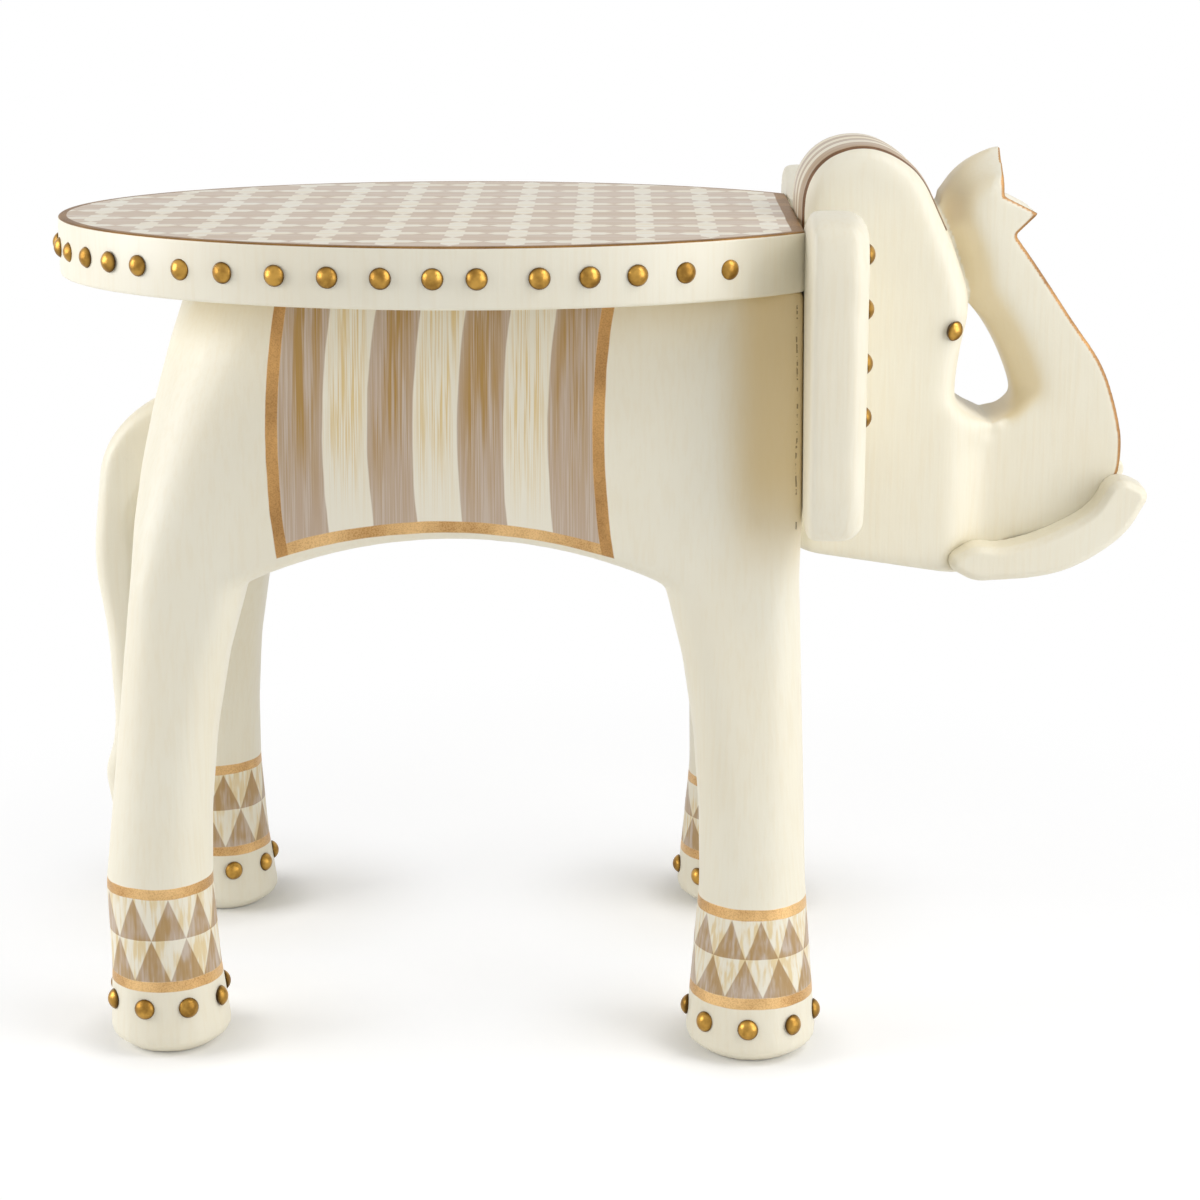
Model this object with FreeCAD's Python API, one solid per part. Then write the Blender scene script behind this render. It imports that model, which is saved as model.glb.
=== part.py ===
import FreeCAD, Part
import math
import os
from dataclasses import dataclass

# Elephant side table: a carved, painted wooden elephant whose back carries an oval top.
# +X points to the trunk, +Y to the elephant's left side and +Z up. The origin is on the floor,
# under the middle of the overall length. All sizes are in millimetres.

Vector = FreeCAD.Vector
FORWARD = Vector(1, 0, 0)
SIDEWAYS = Vector(0, 1, 0)
UP = Vector(0, 0, 1)
STRAIGHT = 1e-6
SAME_PLACE = 1e-4

# Oval top with a straight front edge that cuts off the front of the oval
TABLE_HEIGHT = 457.0
TOP_THICKNESS = 33.0
TOP_LENGTH = 418.0
TOP_WIDTH = 320.0
TOP_FRONT_CUT = 42.0
TOP_EDGE_BEVEL = 2.0
TOP_OUTLINE_SPANS = 10

# Torso, measured at the hip plane where the legs are joined, and under the top
TORSO_DEPTH = 160.0
TORSO_LENGTH = 370.5
TORSO_HIP_WIDTH = 234.0
TORSO_TOP_WIDTH = 188.0
RUMP_LEAN = 28.0
RUMP_LEAN_CURVE = 1.9
FLANK_CURVE = 1.2
RUMP_CORNER = 75.0
HIP_CORNER = 20.0
CHEST_CORNER = 5.0
BELLY_ARCH_RISE = 25.5
BELLY_EDGE_BEVEL = 9.0
LEG_GAP_RISE = 14.0
TORSO_SPANS = 5

# Legs and feet
FRONT_THIGH_LENGTH = 75.0
REAR_THIGH_LENGTH = 64.5
THIGH_WIDTH = 68.0
THIGH_CURVE = 2.5
INSEAM_CURVE = 1.6
ANKLE_HEIGHT = 95.0
ANKLE_DIAMETER = 60.0
ANKLE_SPREAD = 111.0
FRONT_ANKLE_SETBACK = 24.6
REAR_ANKLE_SETBACK = 12.3
FRONT_FOOT_SETBACK = 25.0
REAR_FOOT_SETBACK = 16.2
FRONT_FOOT_SPREAD = 120.0
REAR_FOOT_SPREAD = 113.0
FRONT_FOOT_DIAMETER = 74.0
REAR_FOOT_DIAMETER = 68.5
FOOT_WIDEST_HEIGHT = 8.0
FOOT_BASE_INSET = 7.5
ANKLE_FLAT = 0.5
CALF_PLACE = 0.45
FRONT_CALF_TAPER = 0.45
REAR_CALF_TAPER = 0.8
CORNER_FACETS = 5
LEG_SPANS = 4

# Head block, from the neck plane to the brow and to the trunk joint
HEAD_WIDTH = 84.0
HEAD_LENGTH = 97.0
HEAD_RISE = 42.0
FACE_DROP = 105.0
FACE_EDGE_BEVEL = 7.6
JAW_LENGTH = 108.0
JAW_DROP = 206.0
NECK_DROP = 190.0
LIP_FALL = 5.0

# Ears, boards set square to the body
EAR_THICKNESS = 31.0
EAR_WIDTH = 108.0
EAR_HEIGHT = 174.5
EAR_RISE = 13.5
EAR_EDGE_BEVEL = 7.0

# Trunk board
TRUNK_THICKNESS = 58.0
TRUNK_REACH = 78.5
TRUNK_RISE = 39.0
TRUNK_DROP = 204.0
TRUNK_INNER_BEVEL = 15.0
TRUNK_FACE_GAP = 0.8

# Tusks, boards on the sides of the trunk whose roots are let into the cheeks
TUSK_THICKNESS = 22.0
TUSK_LENGTH = 110.5
TUSK_RISE = 57.5
TUSK_ROOT_INSET = 19.5
TUSK_EDGE_BEVEL = 3.5
TUSK_MORTISE_CLEARANCE = 0.15

# Tail strip
TAIL_THICKNESS = 24.0
TAIL_EDGE_BEVEL = 5.0
TAIL_ROOT_DROP = 105.0
TAIL_LENGTH = 260.0
TAIL_BULGE = 44.0

# Domed nails with square shanks
NAIL_HEAD_DIAMETER = 11.6
NAIL_HEAD_RISE = 4.0
NAIL_SHOULDER_DIAMETER = 8.4
NAIL_SHOULDER_RISE = 2.7
NAIL_FACETS = 6
NAIL_SHANK_CORNERS = 4
NAIL_SHANK_DIAMETER = 2.6
NAIL_SHANK_LENGTH = 12.0
NAIL_HOLE_CLEARANCE = 0.05
EAR_NAILS = 4
EAR_NAIL_INSET = 24.0
EAR_NAIL_PITCH = 29.0
EAR_FIRST_NAIL_DROP = 21.5
FOOT_NAILS = 8
FRONT_NAIL_HEIGHT = 22.0
REAR_NAIL_HEIGHT = 29.0
FRONT_FIRST_NAIL_ANGLE = 95.0
REAR_FIRST_NAIL_ANGLE = 108.0
EYE_SETBACK = 9.0
EYE_DROP = 62.0
EYE_TURN = 20.0

# Glued loose tenons, half in either piece: length through the joint, width and thickness
TOP_TENON = (44.0, 50.0, 12.0)
TOP_TENON_END_INSET = 70.0
TOP_TENON_PITCH = 200.0
TOP_TENON_SPREAD = 50.0
LEG_TENON = (80.0, 36.0, 16.0)
HEAD_TENON = (80.0, 100.0, 20.0)
EAR_TENON = (40.0, 70.0, 10.0)
EAR_TENON_DROP = 96.0
TRUNK_TENON = (50.0, 60.0, 14.0)
TUSK_TENON = (24.0, 30.0, 6.0)
TAIL_TENON = (36.0, 20.0, 8.0)
TENON_CLEARANCE = 0.1
TENON_END_ROOM = 1.0

# Outlines as shares of their own piece's length, rise or drop
CREST_OUTLINE = ((0.0, 0.26), (0.11, 0.8), (0.376, 1.0), (0.65, 0.7))
FOREHEAD_OUTLINE = ((0.83, 0.0), (0.928, 0.219), (1.0, 0.46))
FACE_OUTLINE = ((0.955, 0.72), (0.923, 1.0))
TRUNK_FRONT_OUTLINE = ((0.18, 0.05), (0.52, 0.235), (0.9, 0.47), (0.99, 0.7), (0.65, 0.93), (0.0, 1.0))
TRUNK_INNER_OUTLINE = ((0.24, 0.515), (0.0, 0.303))
TRUNK_CURL_OUTLINE = ((0.0, 0.22), (0.33, 0.74), (1.0, 1.0))
TRUNK_TIP = 0.043
TRUNK_FORK = (0.09, -0.056)
TRUNK_LOWER_TIP = (0.338, -0.009)
TUSK_OUTLINE = (
    (0.0, 0.17),
    (0.08, 0.03),
    (0.3, 0.0),
    (0.68, 0.17),
    (0.965, 0.68),
    (1.0, 0.87),
    (0.91, 1.0),
    (0.66, 0.62),
    (0.3, 0.34),
    (0.08, 0.3),
)
TUSK_TENON_PLACE = (0.37, 0.215)
EAR_OUTLINE = (
    (0.0, 0.13),
    (0.45, 0.03),
    (0.8, 0.0),
    (0.935, 0.03),
    (0.99, 0.12),
    (1.0, 0.3),
    (1.0, 0.7),
    (0.99, 0.9),
    (0.94, 0.985),
    (0.8, 1.0),
    (0.4, 0.93),
    (0.0, 0.8),
)
TAIL_OUTER_OUTLINE = ((0.0, 0.0), (0.66, 0.08), (1.0, 0.3), (0.88, 0.62), (0.87, 0.78), (1.0, 0.9))
TAIL_INNER_OUTLINE = ((0.72, 1.0), (0.36, 0.9), (0.38, 0.68), (0.43, 0.42), (0.3, 0.22), (0.0, 0.175))
TAIL_TENON_PLACE = 0.1

# Turns of the rim's nails round the oval on either side, in degrees from the front, as set by hand
RIM_NAIL_TURNS = (
    50.3, 57.6, 64.9, 71.6, 78.3, 86.4, 92.1, 98.9, 106.0,
    113.4, 121.5, 128.9, 137.1, 144.1, 151.7, 160.0, 167.8, 175.9,
)

# Places worked out from the sizes; the length from the rearmost nail to the tusk tips is centred
TUSK_REACH = JAW_LENGTH - TUSK_ROOT_INSET + TUSK_LENGTH
NECK_X = (TOP_LENGTH + NAIL_HEAD_RISE - TUSK_REACH) / 2
TOP_REAR_X = NECK_X - TOP_LENGTH
TOP_HALF_AXIS = (TOP_LENGTH + TOP_FRONT_CUT) / 2
TOP_CENTRE_X = TOP_REAR_X + TOP_HALF_AXIS
TOP_UNDERSIDE_Z = TABLE_HEIGHT - TOP_THICKNESS
HIP_Z = TOP_UNDERSIDE_Z - TORSO_DEPTH
HIP_REAR_X = NECK_X - TORSO_LENGTH
TRUNK_X = NECK_X + JAW_LENGTH
TUSK_ROOT_X = TRUNK_X - TUSK_ROOT_INSET
TUSK_BASE_Z = TABLE_HEIGHT - TRUNK_DROP
TAIL_ROOT_Z = TABLE_HEIGHT - TAIL_ROOT_DROP
ARCH_REAR_X = HIP_REAR_X + REAR_THIGH_LENGTH
ARCH_FRONT_X = NECK_X - FRONT_THIGH_LENGTH
LEG_GAP = TORSO_HIP_WIDTH - 2 * THIGH_WIDTH


@dataclass(frozen=True)
class LegShape:
    """One leg of the left side: its edges at the hip, its ankle and its foot."""

    name: str
    hip_rear_x: float
    hip_front_x: float
    rear_curve: float
    front_curve: float
    ankle_x: float
    foot_x: float
    foot_spread: float
    foot_diameter: float
    calf_taper: float
    nail_height: float
    first_nail_angle: float

    @property
    def hip_middle(self):
        """Middle of the joint face at the hip."""
        middle_y = (TORSO_HIP_WIDTH - THIGH_WIDTH) / 2
        return Vector((self.hip_rear_x + self.hip_front_x) / 2, middle_y, HIP_Z)


@dataclass(frozen=True)
class TenonJoint:
    """Loose tenons of one kind: their places on the joint, the way through it and the way of their width."""

    places: list
    through: Vector
    wide: Vector
    size: tuple

    def boxes(self, clearance, end_room):
        """Tenons, or their mortises when a clearance and room at the ends are given."""
        length, width, thickness = self.size
        grown = Vector(length + 2 * end_room, width + 2 * clearance, thickness + 2 * clearance)
        turn = FreeCAD.Rotation(self.through, self.wide, self.through.cross(self.wide), "XYZ")
        boxes = []
        for place in self.places:
            box = Part.makeBox(grown.x, grown.y, grown.z, grown * -0.5)
            box.Placement = FreeCAD.Placement(place, turn)
            boxes.append(box)
        return boxes

    def tenons(self):
        """The tenons."""
        return self.boxes(0, 0)

    def mortises(self):
        """The holes for the tenons in both pieces."""
        return self.boxes(TENON_CLEARANCE, TENON_END_ROOM)


LEGS = (
    LegShape(
        name="front",
        hip_rear_x=ARCH_FRONT_X,
        hip_front_x=NECK_X,
        rear_curve=THIGH_CURVE,
        front_curve=1.0,
        ankle_x=NECK_X - FRONT_ANKLE_SETBACK,
        foot_x=NECK_X - FRONT_FOOT_SETBACK,
        foot_spread=FRONT_FOOT_SPREAD,
        foot_diameter=FRONT_FOOT_DIAMETER,
        calf_taper=FRONT_CALF_TAPER,
        nail_height=FRONT_NAIL_HEIGHT,
        first_nail_angle=FRONT_FIRST_NAIL_ANGLE,
    ),
    LegShape(
        name="rear",
        hip_rear_x=HIP_REAR_X,
        hip_front_x=ARCH_REAR_X,
        rear_curve=1.0,
        front_curve=THIGH_CURVE,
        ankle_x=HIP_REAR_X + REAR_ANKLE_SETBACK,
        foot_x=HIP_REAR_X + REAR_FOOT_SETBACK,
        foot_spread=REAR_FOOT_SPREAD,
        foot_diameter=REAR_FOOT_DIAMETER,
        calf_taper=REAR_CALF_TAPER,
        nail_height=REAR_NAIL_HEIGHT,
        first_nail_angle=REAR_FIRST_NAIL_ANGLE,
    ),
)


def blend(start, end, share):
    """Value at a share of the way from start to end."""
    return start + (end - start) * share


def mirrored(shape):
    """The same shape on the elephant's other side."""
    return shape.mirror(Vector(0, 0, 0), SIDEWAYS)


def with_mirror_images(points):
    """Points of the left side and their mirror images."""
    return points + [Vector(point.x, -point.y, point.z) for point in points]


def side_point(x, z):
    """Point on the plane of symmetry."""
    return Vector(x, 0, z)


def unit(vector):
    """Direction of a vector."""
    return vector / vector.Length


def polygon(points):
    """Straight edges of a closed outline."""
    return [Part.makeLine(point, points[(index + 1) % len(points)]) for index, point in enumerate(points)]


def tangent_arc(start, direction, end):
    """Arc that leaves start in a direction and reaches end, or a line where that is straight ahead."""
    chord = end - start
    ahead = unit(chord)
    aside = direction - ahead * direction.dot(ahead)
    if aside.Length < STRAIGHT:
        return Part.makeLine(start, end)
    sag = chord.Length / 2 * math.tan(math.atan2(aside.Length, direction.dot(ahead)) / 2)
    return Part.Arc(start, (start + end) / 2 + unit(aside) * sag, end).toShape()


def outline_directions(points):
    """Directions of a smooth curve at its points: at each, that of the circle through its neighbours."""
    middles = []
    for before, point, after in zip(points, points[1:], points[2:]):
        back = point - before
        onward = after - point
        middles.append(unit(back * (onward.Length / back.Length) + onward * (back.Length / onward.Length)))
    first = unit(points[1] - points[0])
    last = unit(points[-1] - points[-2])
    start = first * (2 * middles[0].dot(first)) - middles[0]
    end = last * (2 * middles[-1].dot(last)) - middles[-1]
    return [start] + middles + [end]


def smooth_outline(points, closed=False):
    """Chain of arcs through points, two arcs to a span, without a kink anywhere."""
    directions = outline_directions(points)
    if closed:
        directions = outline_directions(points[-1:] + points + points[:2])[1:-1]
        points = points + points[:1]
    edges = []
    for index, (start, end) in enumerate(zip(points, points[1:])):
        leaving = directions[index]
        arriving = directions[index + 1]
        span = end - start
        turn = 1 - leaving.dot(arriving)
        both = span.dot(leaving + arriving)
        reach = span.dot(span) / (both + math.sqrt(both**2 + 2 * turn * span.dot(span)))
        middle = (start + end + (leaving - arriving) * reach) / 2
        edges.append(tangent_arc(start, leaving, middle))
        edges.append(tangent_arc(end, -arriving, middle))
    return edges


def board(edges, start, end, across):
    """Solid sawn to an outline of edges, from start to end along the direction across."""
    face = Part.Face(Part.Wire(Part.sortEdges(edges)[0]))
    face.translate(across * start)
    return face.extrude(across * (end - start))


def flat_faces(outlines):
    """Flat face in each outline of corners, without those outlines that shrink to a point."""
    faces = []
    for outline in outlines:
        corners = [corner for index, corner in enumerate(outline) if corner != outline[index - 1]]
        if corners:
            faces.append(Part.Face(Part.makePolygon(corners + corners[:1])))
    return faces


def carved_solid(sections):
    """Solid with flat facets between sections that have the same number of corners and parallel sides."""
    outlines = [sections[0], sections[-1]]
    for section, following in zip(sections, sections[1:]):
        for index in range(len(section)):
            outlines.append([section[index - 1], section[index], following[index], following[index - 1]])
    return Part.makeSolid(Part.makeShell(flat_faces(outlines)))


def edges_along(shape, chain, shift):
    """Edges of a shape that lie on a chain of edges moved by a shift."""
    found = []
    for link in chain:
        middle = link.valueAt((link.FirstParameter + link.LastParameter) / 2)
        place = Part.Vertex(middle + shift)
        found += [edge for edge in shape.Edges if edge.distToShape(place)[0] < SAME_PLACE]
    return found


def carved_section(x_rear, x_front, y_low, y_high, z, rear_corner, front_corner):
    """Level section with corners carved round in facets, drawn in the same turn from the same corner."""
    corners = (
        (x_front, y_high, -1, -1, front_corner),
        (x_rear, y_high, 1, -1, rear_corner),
        (x_rear, y_low, 1, 1, rear_corner),
        (x_front, y_low, -1, 1, front_corner),
    )
    points = []
    for number, (x, y, inward_x, inward_y, radius) in enumerate(corners):
        middle = Vector(x + inward_x * radius, y + inward_y * radius, z)
        for facet in range(CORNER_FACETS + 1):
            angle = math.pi / 2 * (number + facet / CORNER_FACETS)
            points.append(middle + Vector(math.cos(angle), math.sin(angle), 0) * radius)
    return points


def level_ring(corners, width, z):
    """Corners of a regular level outline round the Z axis."""
    angles = [2 * math.pi * index / corners for index in range(corners)]
    return [Vector(width / 2 * math.cos(angle), width / 2 * math.sin(angle), z) for angle in angles]


def nail_shank(clearance):
    """Square point of a nail under the XY plane, or its hole."""
    point_z = -NAIL_SHANK_LENGTH - clearance
    square = level_ring(NAIL_SHANK_CORNERS, NAIL_SHANK_DIAMETER + 2 * clearance, 0)
    return carved_solid([square, level_ring(NAIL_SHANK_CORNERS, 0, point_z)])


def nail():
    """Nail at the origin with the flat side of its domed head on the XY plane."""
    levels = [
        level_ring(NAIL_FACETS, NAIL_HEAD_DIAMETER, 0),
        level_ring(NAIL_FACETS, NAIL_SHOULDER_DIAMETER, NAIL_SHOULDER_RISE),
        level_ring(NAIL_FACETS, 0, NAIL_HEAD_RISE),
    ]
    return carved_solid(levels).fuse(nail_shank(0)).Solids[0]


def placed(shape, seats):
    """Copies of a form that stands on the origin, one on each seat of a point and an outward direction."""
    copies = []
    for point, outward in seats:
        copy = shape.copy()
        copy.Placement = FreeCAD.Placement(point, FreeCAD.Rotation(UP, outward))
        copies.append(copy)
    return copies


def surface_seat(solid, inside, direction):
    """Point where a line from inside leaves the solid, with the outward normal there."""
    far = inside + direction * solid.BoundBox.DiagonalLength
    stretch = solid.common(Part.makeLine(inside, far))
    point = max((vertex.Point for vertex in stretch.Vertexes), key=lambda place: (place - inside).Length)
    face = min(solid.Faces, key=lambda candidate: candidate.distToShape(Part.Vertex(point))[0])
    return point, face.normalAt(*face.Surface.parameter(point))


def rim_outline():
    """Arcs of the top's oval edge, from the front on the left round the rear to the front on the right."""
    front_turn = math.acos((NECK_X - TOP_CENTRE_X) / TOP_HALF_AXIS)
    points = []
    for index in range(TOP_OUTLINE_SPANS + 1):
        angle = blend(front_turn, 2 * math.pi - front_turn, index / TOP_OUTLINE_SPANS)
        x = TOP_CENTRE_X + TOP_HALF_AXIS * math.cos(angle)
        points.append(Vector(x, TOP_WIDTH / 2 * math.sin(angle), 0))
    return smooth_outline(points)


def make_tabletop():
    """Oval board with bevelled edges and a straight front edge."""
    rim = rim_outline()
    front_left = rim[0].firstVertex().Point
    front = Part.makeLine(front_left, Vector(front_left.x, -front_left.y, 0))
    top = board(rim + [front], TOP_UNDERSIDE_Z, TABLE_HEIGHT, UP)
    edges = edges_along(top, rim, UP * TOP_UNDERSIDE_Z) + edges_along(top, rim, UP * TABLE_HEIGHT)
    return top.makeChamfer(TOP_EDGE_BEVEL, edges)


def rim_nail_seats(top):
    """Seats of the left side's nails along the middle of the rim."""
    middle = side_point(TOP_CENTRE_X, TABLE_HEIGHT - TOP_THICKNESS / 2)
    seats = []
    for turn in RIM_NAIL_TURNS:
        angle = math.radians(turn)
        reach = Vector(TOP_HALF_AXIS * math.cos(angle), TOP_WIDTH / 2 * math.sin(angle), 0)
        seats.append(surface_seat(top, middle, unit(reach)))
    return seats


def torso_rear_x(z):
    """Rear of the torso at a height."""
    share = (z - HIP_Z) / TORSO_DEPTH
    return HIP_REAR_X + RUMP_LEAN * share**RUMP_LEAN_CURVE


def torso_section(share):
    """Level section of the torso at a share of the way from the hip plane to the top."""
    z = blend(HIP_Z, TOP_UNDERSIDE_Z, share)
    half = blend(TORSO_HIP_WIDTH, TORSO_TOP_WIDTH, share**FLANK_CURVE) / 2
    rear_corner = blend(HIP_CORNER, RUMP_CORNER, share)
    front_corner = blend(CHEST_CORNER, HIP_CORNER, max(0.0, 1 - TORSO_SPANS * share))
    return carved_section(torso_rear_x(z), NECK_X, -half, half, z, rear_corner, front_corner)


def arch_radius(span, rise):
    """Radius of a round arch."""
    return ((span / 2) ** 2 + rise**2) / (2 * rise)


def belly_cuts():
    """Round tunnel across the belly and the bevels at its two mouths."""
    radius = arch_radius(ARCH_FRONT_X - ARCH_REAR_X, BELLY_ARCH_RISE)
    axis_point = side_point((ARCH_REAR_X + ARCH_FRONT_X) / 2, HIP_Z + BELLY_ARCH_RISE - radius)
    tunnel = Part.makeCylinder(radius, 2 * TORSO_HIP_WIDTH, axis_point - SIDEWAYS * TORSO_HIP_WIDTH, SIDEWAYS)
    cuts = [tunnel]
    for outward in (SIDEWAYS, -SIDEWAYS):
        start = axis_point + outward * (TORSO_HIP_WIDTH / 2 - BELLY_EDGE_BEVEL)
        flare = 2 * BELLY_EDGE_BEVEL
        cuts.append(Part.makeCone(radius, radius + flare, flare, start, outward))
    return cuts


def leg_gap_cut():
    """Lower round tunnel between the left and the right legs."""
    radius = arch_radius(LEG_GAP, LEG_GAP_RISE)
    start = side_point(NECK_X - 2 * TORSO_LENGTH, HIP_Z + LEG_GAP_RISE - radius)
    return Part.makeCylinder(radius, 3 * TORSO_LENGTH, start, FORWARD)


def make_torso():
    """Carved block: rounded rump, sloping flanks, a belly arch and a lower arch between the legs."""
    sections = [torso_section(index / TORSO_SPANS) for index in range(TORSO_SPANS + 1)]
    return carved_solid(sections).cut(belly_cuts() + [leg_gap_cut()]).Solids[0]


def leg_section(leg, share):
    """Level section of a leg at a share of the way from the ankle to the hip."""
    ankle = ANKLE_DIAMETER / 2
    rear_x = blend(leg.ankle_x - ankle, leg.hip_rear_x, share**leg.rear_curve)
    front_x = blend(leg.ankle_x + ankle, leg.hip_front_x, share**leg.front_curve)
    outer_y = blend(ANKLE_SPREAD + ankle, TORSO_HIP_WIDTH / 2, share)
    inner_y = blend(ANKLE_SPREAD - ankle, LEG_GAP / 2, share**INSEAM_CURVE)
    corner = blend(ankle - ANKLE_FLAT, HIP_CORNER, share)
    z = blend(ANKLE_HEIGHT, HIP_Z, share)
    return carved_section(rear_x, front_x, inner_y, outer_y, z, corner, corner)


def foot_section(leg, z, radius, ankle_share):
    """Round level section of a foot, between the foot's own middle and the ankle's."""
    x = blend(leg.foot_x, leg.ankle_x, ankle_share)
    y = blend(leg.foot_spread, ANKLE_SPREAD, ankle_share)
    corner = radius - ANKLE_FLAT
    return carved_section(x - radius, x + radius, y - radius, y + radius, z, corner, corner)


def make_leg(leg):
    """Left leg: a foot that flares to its widest just above the floor, a narrow ankle and a wide thigh."""
    widest = leg.foot_diameter / 2
    calf_z = blend(FOOT_WIDEST_HEIGHT, ANKLE_HEIGHT, CALF_PLACE)
    calf_radius = blend(widest, ANKLE_DIAMETER / 2, leg.calf_taper)
    sections = [
        foot_section(leg, 0, widest - FOOT_BASE_INSET, 0),
        foot_section(leg, FOOT_WIDEST_HEIGHT, widest, 0),
        foot_section(leg, calf_z, calf_radius, CALF_PLACE),
    ]
    sections += [leg_section(leg, index / LEG_SPANS) for index in range(LEG_SPANS + 1)]
    return carved_solid(sections)


def foot_nail_seats(leg, solid):
    """Seats of the ring of nails on a left foot."""
    middle = Vector(leg.foot_x, leg.foot_spread, leg.nail_height)
    seats = []
    for index in range(FOOT_NAILS):
        angle = math.radians(leg.first_nail_angle + 360 * index / FOOT_NAILS)
        seats.append(surface_seat(solid, middle, Vector(math.cos(angle), math.sin(angle), 0)))
    return seats


def head_point(along, above, depth):
    """Point of the head's profile: a share of its length, and a share above or below the tabletop."""
    return side_point(NECK_X + HEAD_LENGTH * along, TABLE_HEIGHT + depth * above)


def forehead_points(forward):
    """Points of the forehead down to the brow, moved forward by a gap."""
    return [head_point(along, -down, FACE_DROP) + FORWARD * forward for along, down in FOREHEAD_OUTLINE]


def mouth_point():
    """Inner end of the ledge of the mouth, at the foot of the face."""
    return head_point(FACE_OUTLINE[-1][0], -FACE_OUTLINE[-1][1], FACE_DROP)


def lip_point():
    """Front end of the ledge of the mouth, on the trunk joint."""
    return side_point(TRUNK_X, TABLE_HEIGHT - FACE_DROP - LIP_FALL)


def jaw_point(x):
    """Point of the straight underside of the jaw, between the throat and the chin."""
    share = (x - NECK_X) / JAW_LENGTH
    return side_point(x, TABLE_HEIGHT - blend(NECK_DROP, JAW_DROP, share))


def make_head():
    """Head sawn to the profile of crest, brow and jaw, with cheeks that narrow from the face to the trunk."""
    crest = [head_point(along, up, HEAD_RISE) for along, up in CREST_OUTLINE]
    face = [head_point(along, -down, FACE_DROP) for along, down in FACE_OUTLINE]
    mouth = mouth_point()
    chin = jaw_point(mouth.x)
    throat = jaw_point(NECK_X)
    profile = smooth_outline(crest + forehead_points(0) + face + [chin])
    half = HEAD_WIDTH / 2
    back = [Part.makeLine(chin, throat), Part.makeLine(throat, crest[0])]
    skull = board(profile + back, -half, half, SIDEWAYS)
    face_edges = edges_along(skull, profile, SIDEWAYS * half) + edges_along(skull, profile, SIDEWAYS * -half)
    skull = skull.makeChamfer(FACE_EDGE_BEVEL, face_edges)
    cheek_x = mouth.x - 2 * FACE_EDGE_BEVEL
    jaw_profile = [side_point(cheek_x, mouth.z), mouth, lip_point(), jaw_point(TRUNK_X), jaw_point(cheek_x)]
    jaw = board(polygon(jaw_profile), -half, half, SIDEWAYS)
    cheeks = [Vector(cheek_x, half, 0), Vector(mouth.x, half, 0), Vector(TRUNK_X, TRUNK_THICKNESS / 2, 0)]
    jaw_plan = cheeks + [Vector(point.x, -point.y, 0) for point in cheeks[::-1]]
    jaw = jaw.common(board(polygon(jaw_plan), 0, TABLE_HEIGHT, UP))
    return skull.fuse(jaw).removeSplitter().Solids[0]


def eye_seat(head):
    """Seat of the left eye's nail on the rounded edge of the face."""
    turn = math.radians(EYE_TURN)
    surface_x = NECK_X + HEAD_LENGTH - EYE_SETBACK
    inside = side_point(surface_x - HEAD_WIDTH / 2 * math.tan(turn), TABLE_HEIGHT - EYE_DROP)
    return surface_seat(head, inside, Vector(math.sin(turn), math.cos(turn), 0))


def ear_outline():
    """Free edge of the left ear, from the top of the head's side round to its cheek."""
    points = [
        Vector(NECK_X, HEAD_WIDTH / 2 + EAR_WIDTH * out, TABLE_HEIGHT + EAR_RISE - EAR_HEIGHT * down)
        for out, down in EAR_OUTLINE
    ]
    return smooth_outline(points)


def make_ear():
    """Left ear: a thick board with a rounded front edge, its back on the chest and its root on the head."""
    outline = ear_outline()
    root = Part.makeLine(outline[-1].firstVertex().Point, outline[0].firstVertex().Point)
    ear = board(outline + [root], 0, EAR_THICKNESS, FORWARD)
    return ear.makeChamfer(EAR_EDGE_BEVEL, edges_along(ear, outline, FORWARD * EAR_THICKNESS))


def ear_nail_seats():
    """Seats of the row of nails down the outer side of the left ear's front face."""
    aside = HEAD_WIDTH / 2 + EAR_WIDTH - EAR_NAIL_INSET
    first = Vector(NECK_X + EAR_THICKNESS, aside, TABLE_HEIGHT + EAR_RISE - EAR_FIRST_NAIL_DROP)
    return [(first - UP * (EAR_NAIL_PITCH * index), FORWARD) for index in range(EAR_NAILS)]


def trunk_point(along, down):
    """Point of the trunk's outline from shares of its reach and drop."""
    return side_point(TRUNK_X + TRUNK_REACH * along, TABLE_HEIGHT - TRUNK_DROP * down)


def make_trunk():
    """Trunk board that rises in front of the forehead to a forked tip."""
    lip = lip_point()
    tip = side_point(TRUNK_X + TRUNK_REACH * TRUNK_TIP, TABLE_HEIGHT + TRUNK_RISE)
    fork = trunk_point(*TRUNK_FORK)
    lower_tip = trunk_point(*TRUNK_LOWER_TIP)
    front = [trunk_point(along, down) for along, down in TRUNK_FRONT_OUTLINE]
    throat = [trunk_point(along, down) for along, down in TRUNK_INNER_OUTLINE]
    forehead = forehead_points(TRUNK_FACE_GAP)
    curl = [
        side_point(blend(forehead[0].x, tip.x, along), blend(TABLE_HEIGHT, tip.z, up))
        for along, up in TRUNK_CURL_OUTLINE
    ]
    inner = smooth_outline(throat + forehead[::-1] + curl)
    edges = inner + smooth_outline(front)
    edges += [Part.makeLine(lip, throat[0]), Part.makeLine(front[-1], lip)]
    edges += [Part.makeLine(tip, fork), Part.makeLine(fork, lower_tip), Part.makeLine(lower_tip, front[0])]
    half = TRUNK_THICKNESS / 2
    trunk = board(edges, -half, half, SIDEWAYS)
    inner_edges = edges_along(trunk, inner, SIDEWAYS * half) + edges_along(trunk, inner, SIDEWAYS * -half)
    return trunk.makeChamfer(TRUNK_INNER_BEVEL, inner_edges)


def tusk_point(along, up):
    """Point of a tusk's outline from shares of its length and rise."""
    return side_point(TUSK_ROOT_X + TUSK_LENGTH * along, TUSK_BASE_Z + TUSK_RISE * up)


def tusk_outline():
    """Crescent outline of a tusk with a round root and a blunt round tip."""
    return smooth_outline([tusk_point(along, up) for along, up in TUSK_OUTLINE], closed=True)


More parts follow.
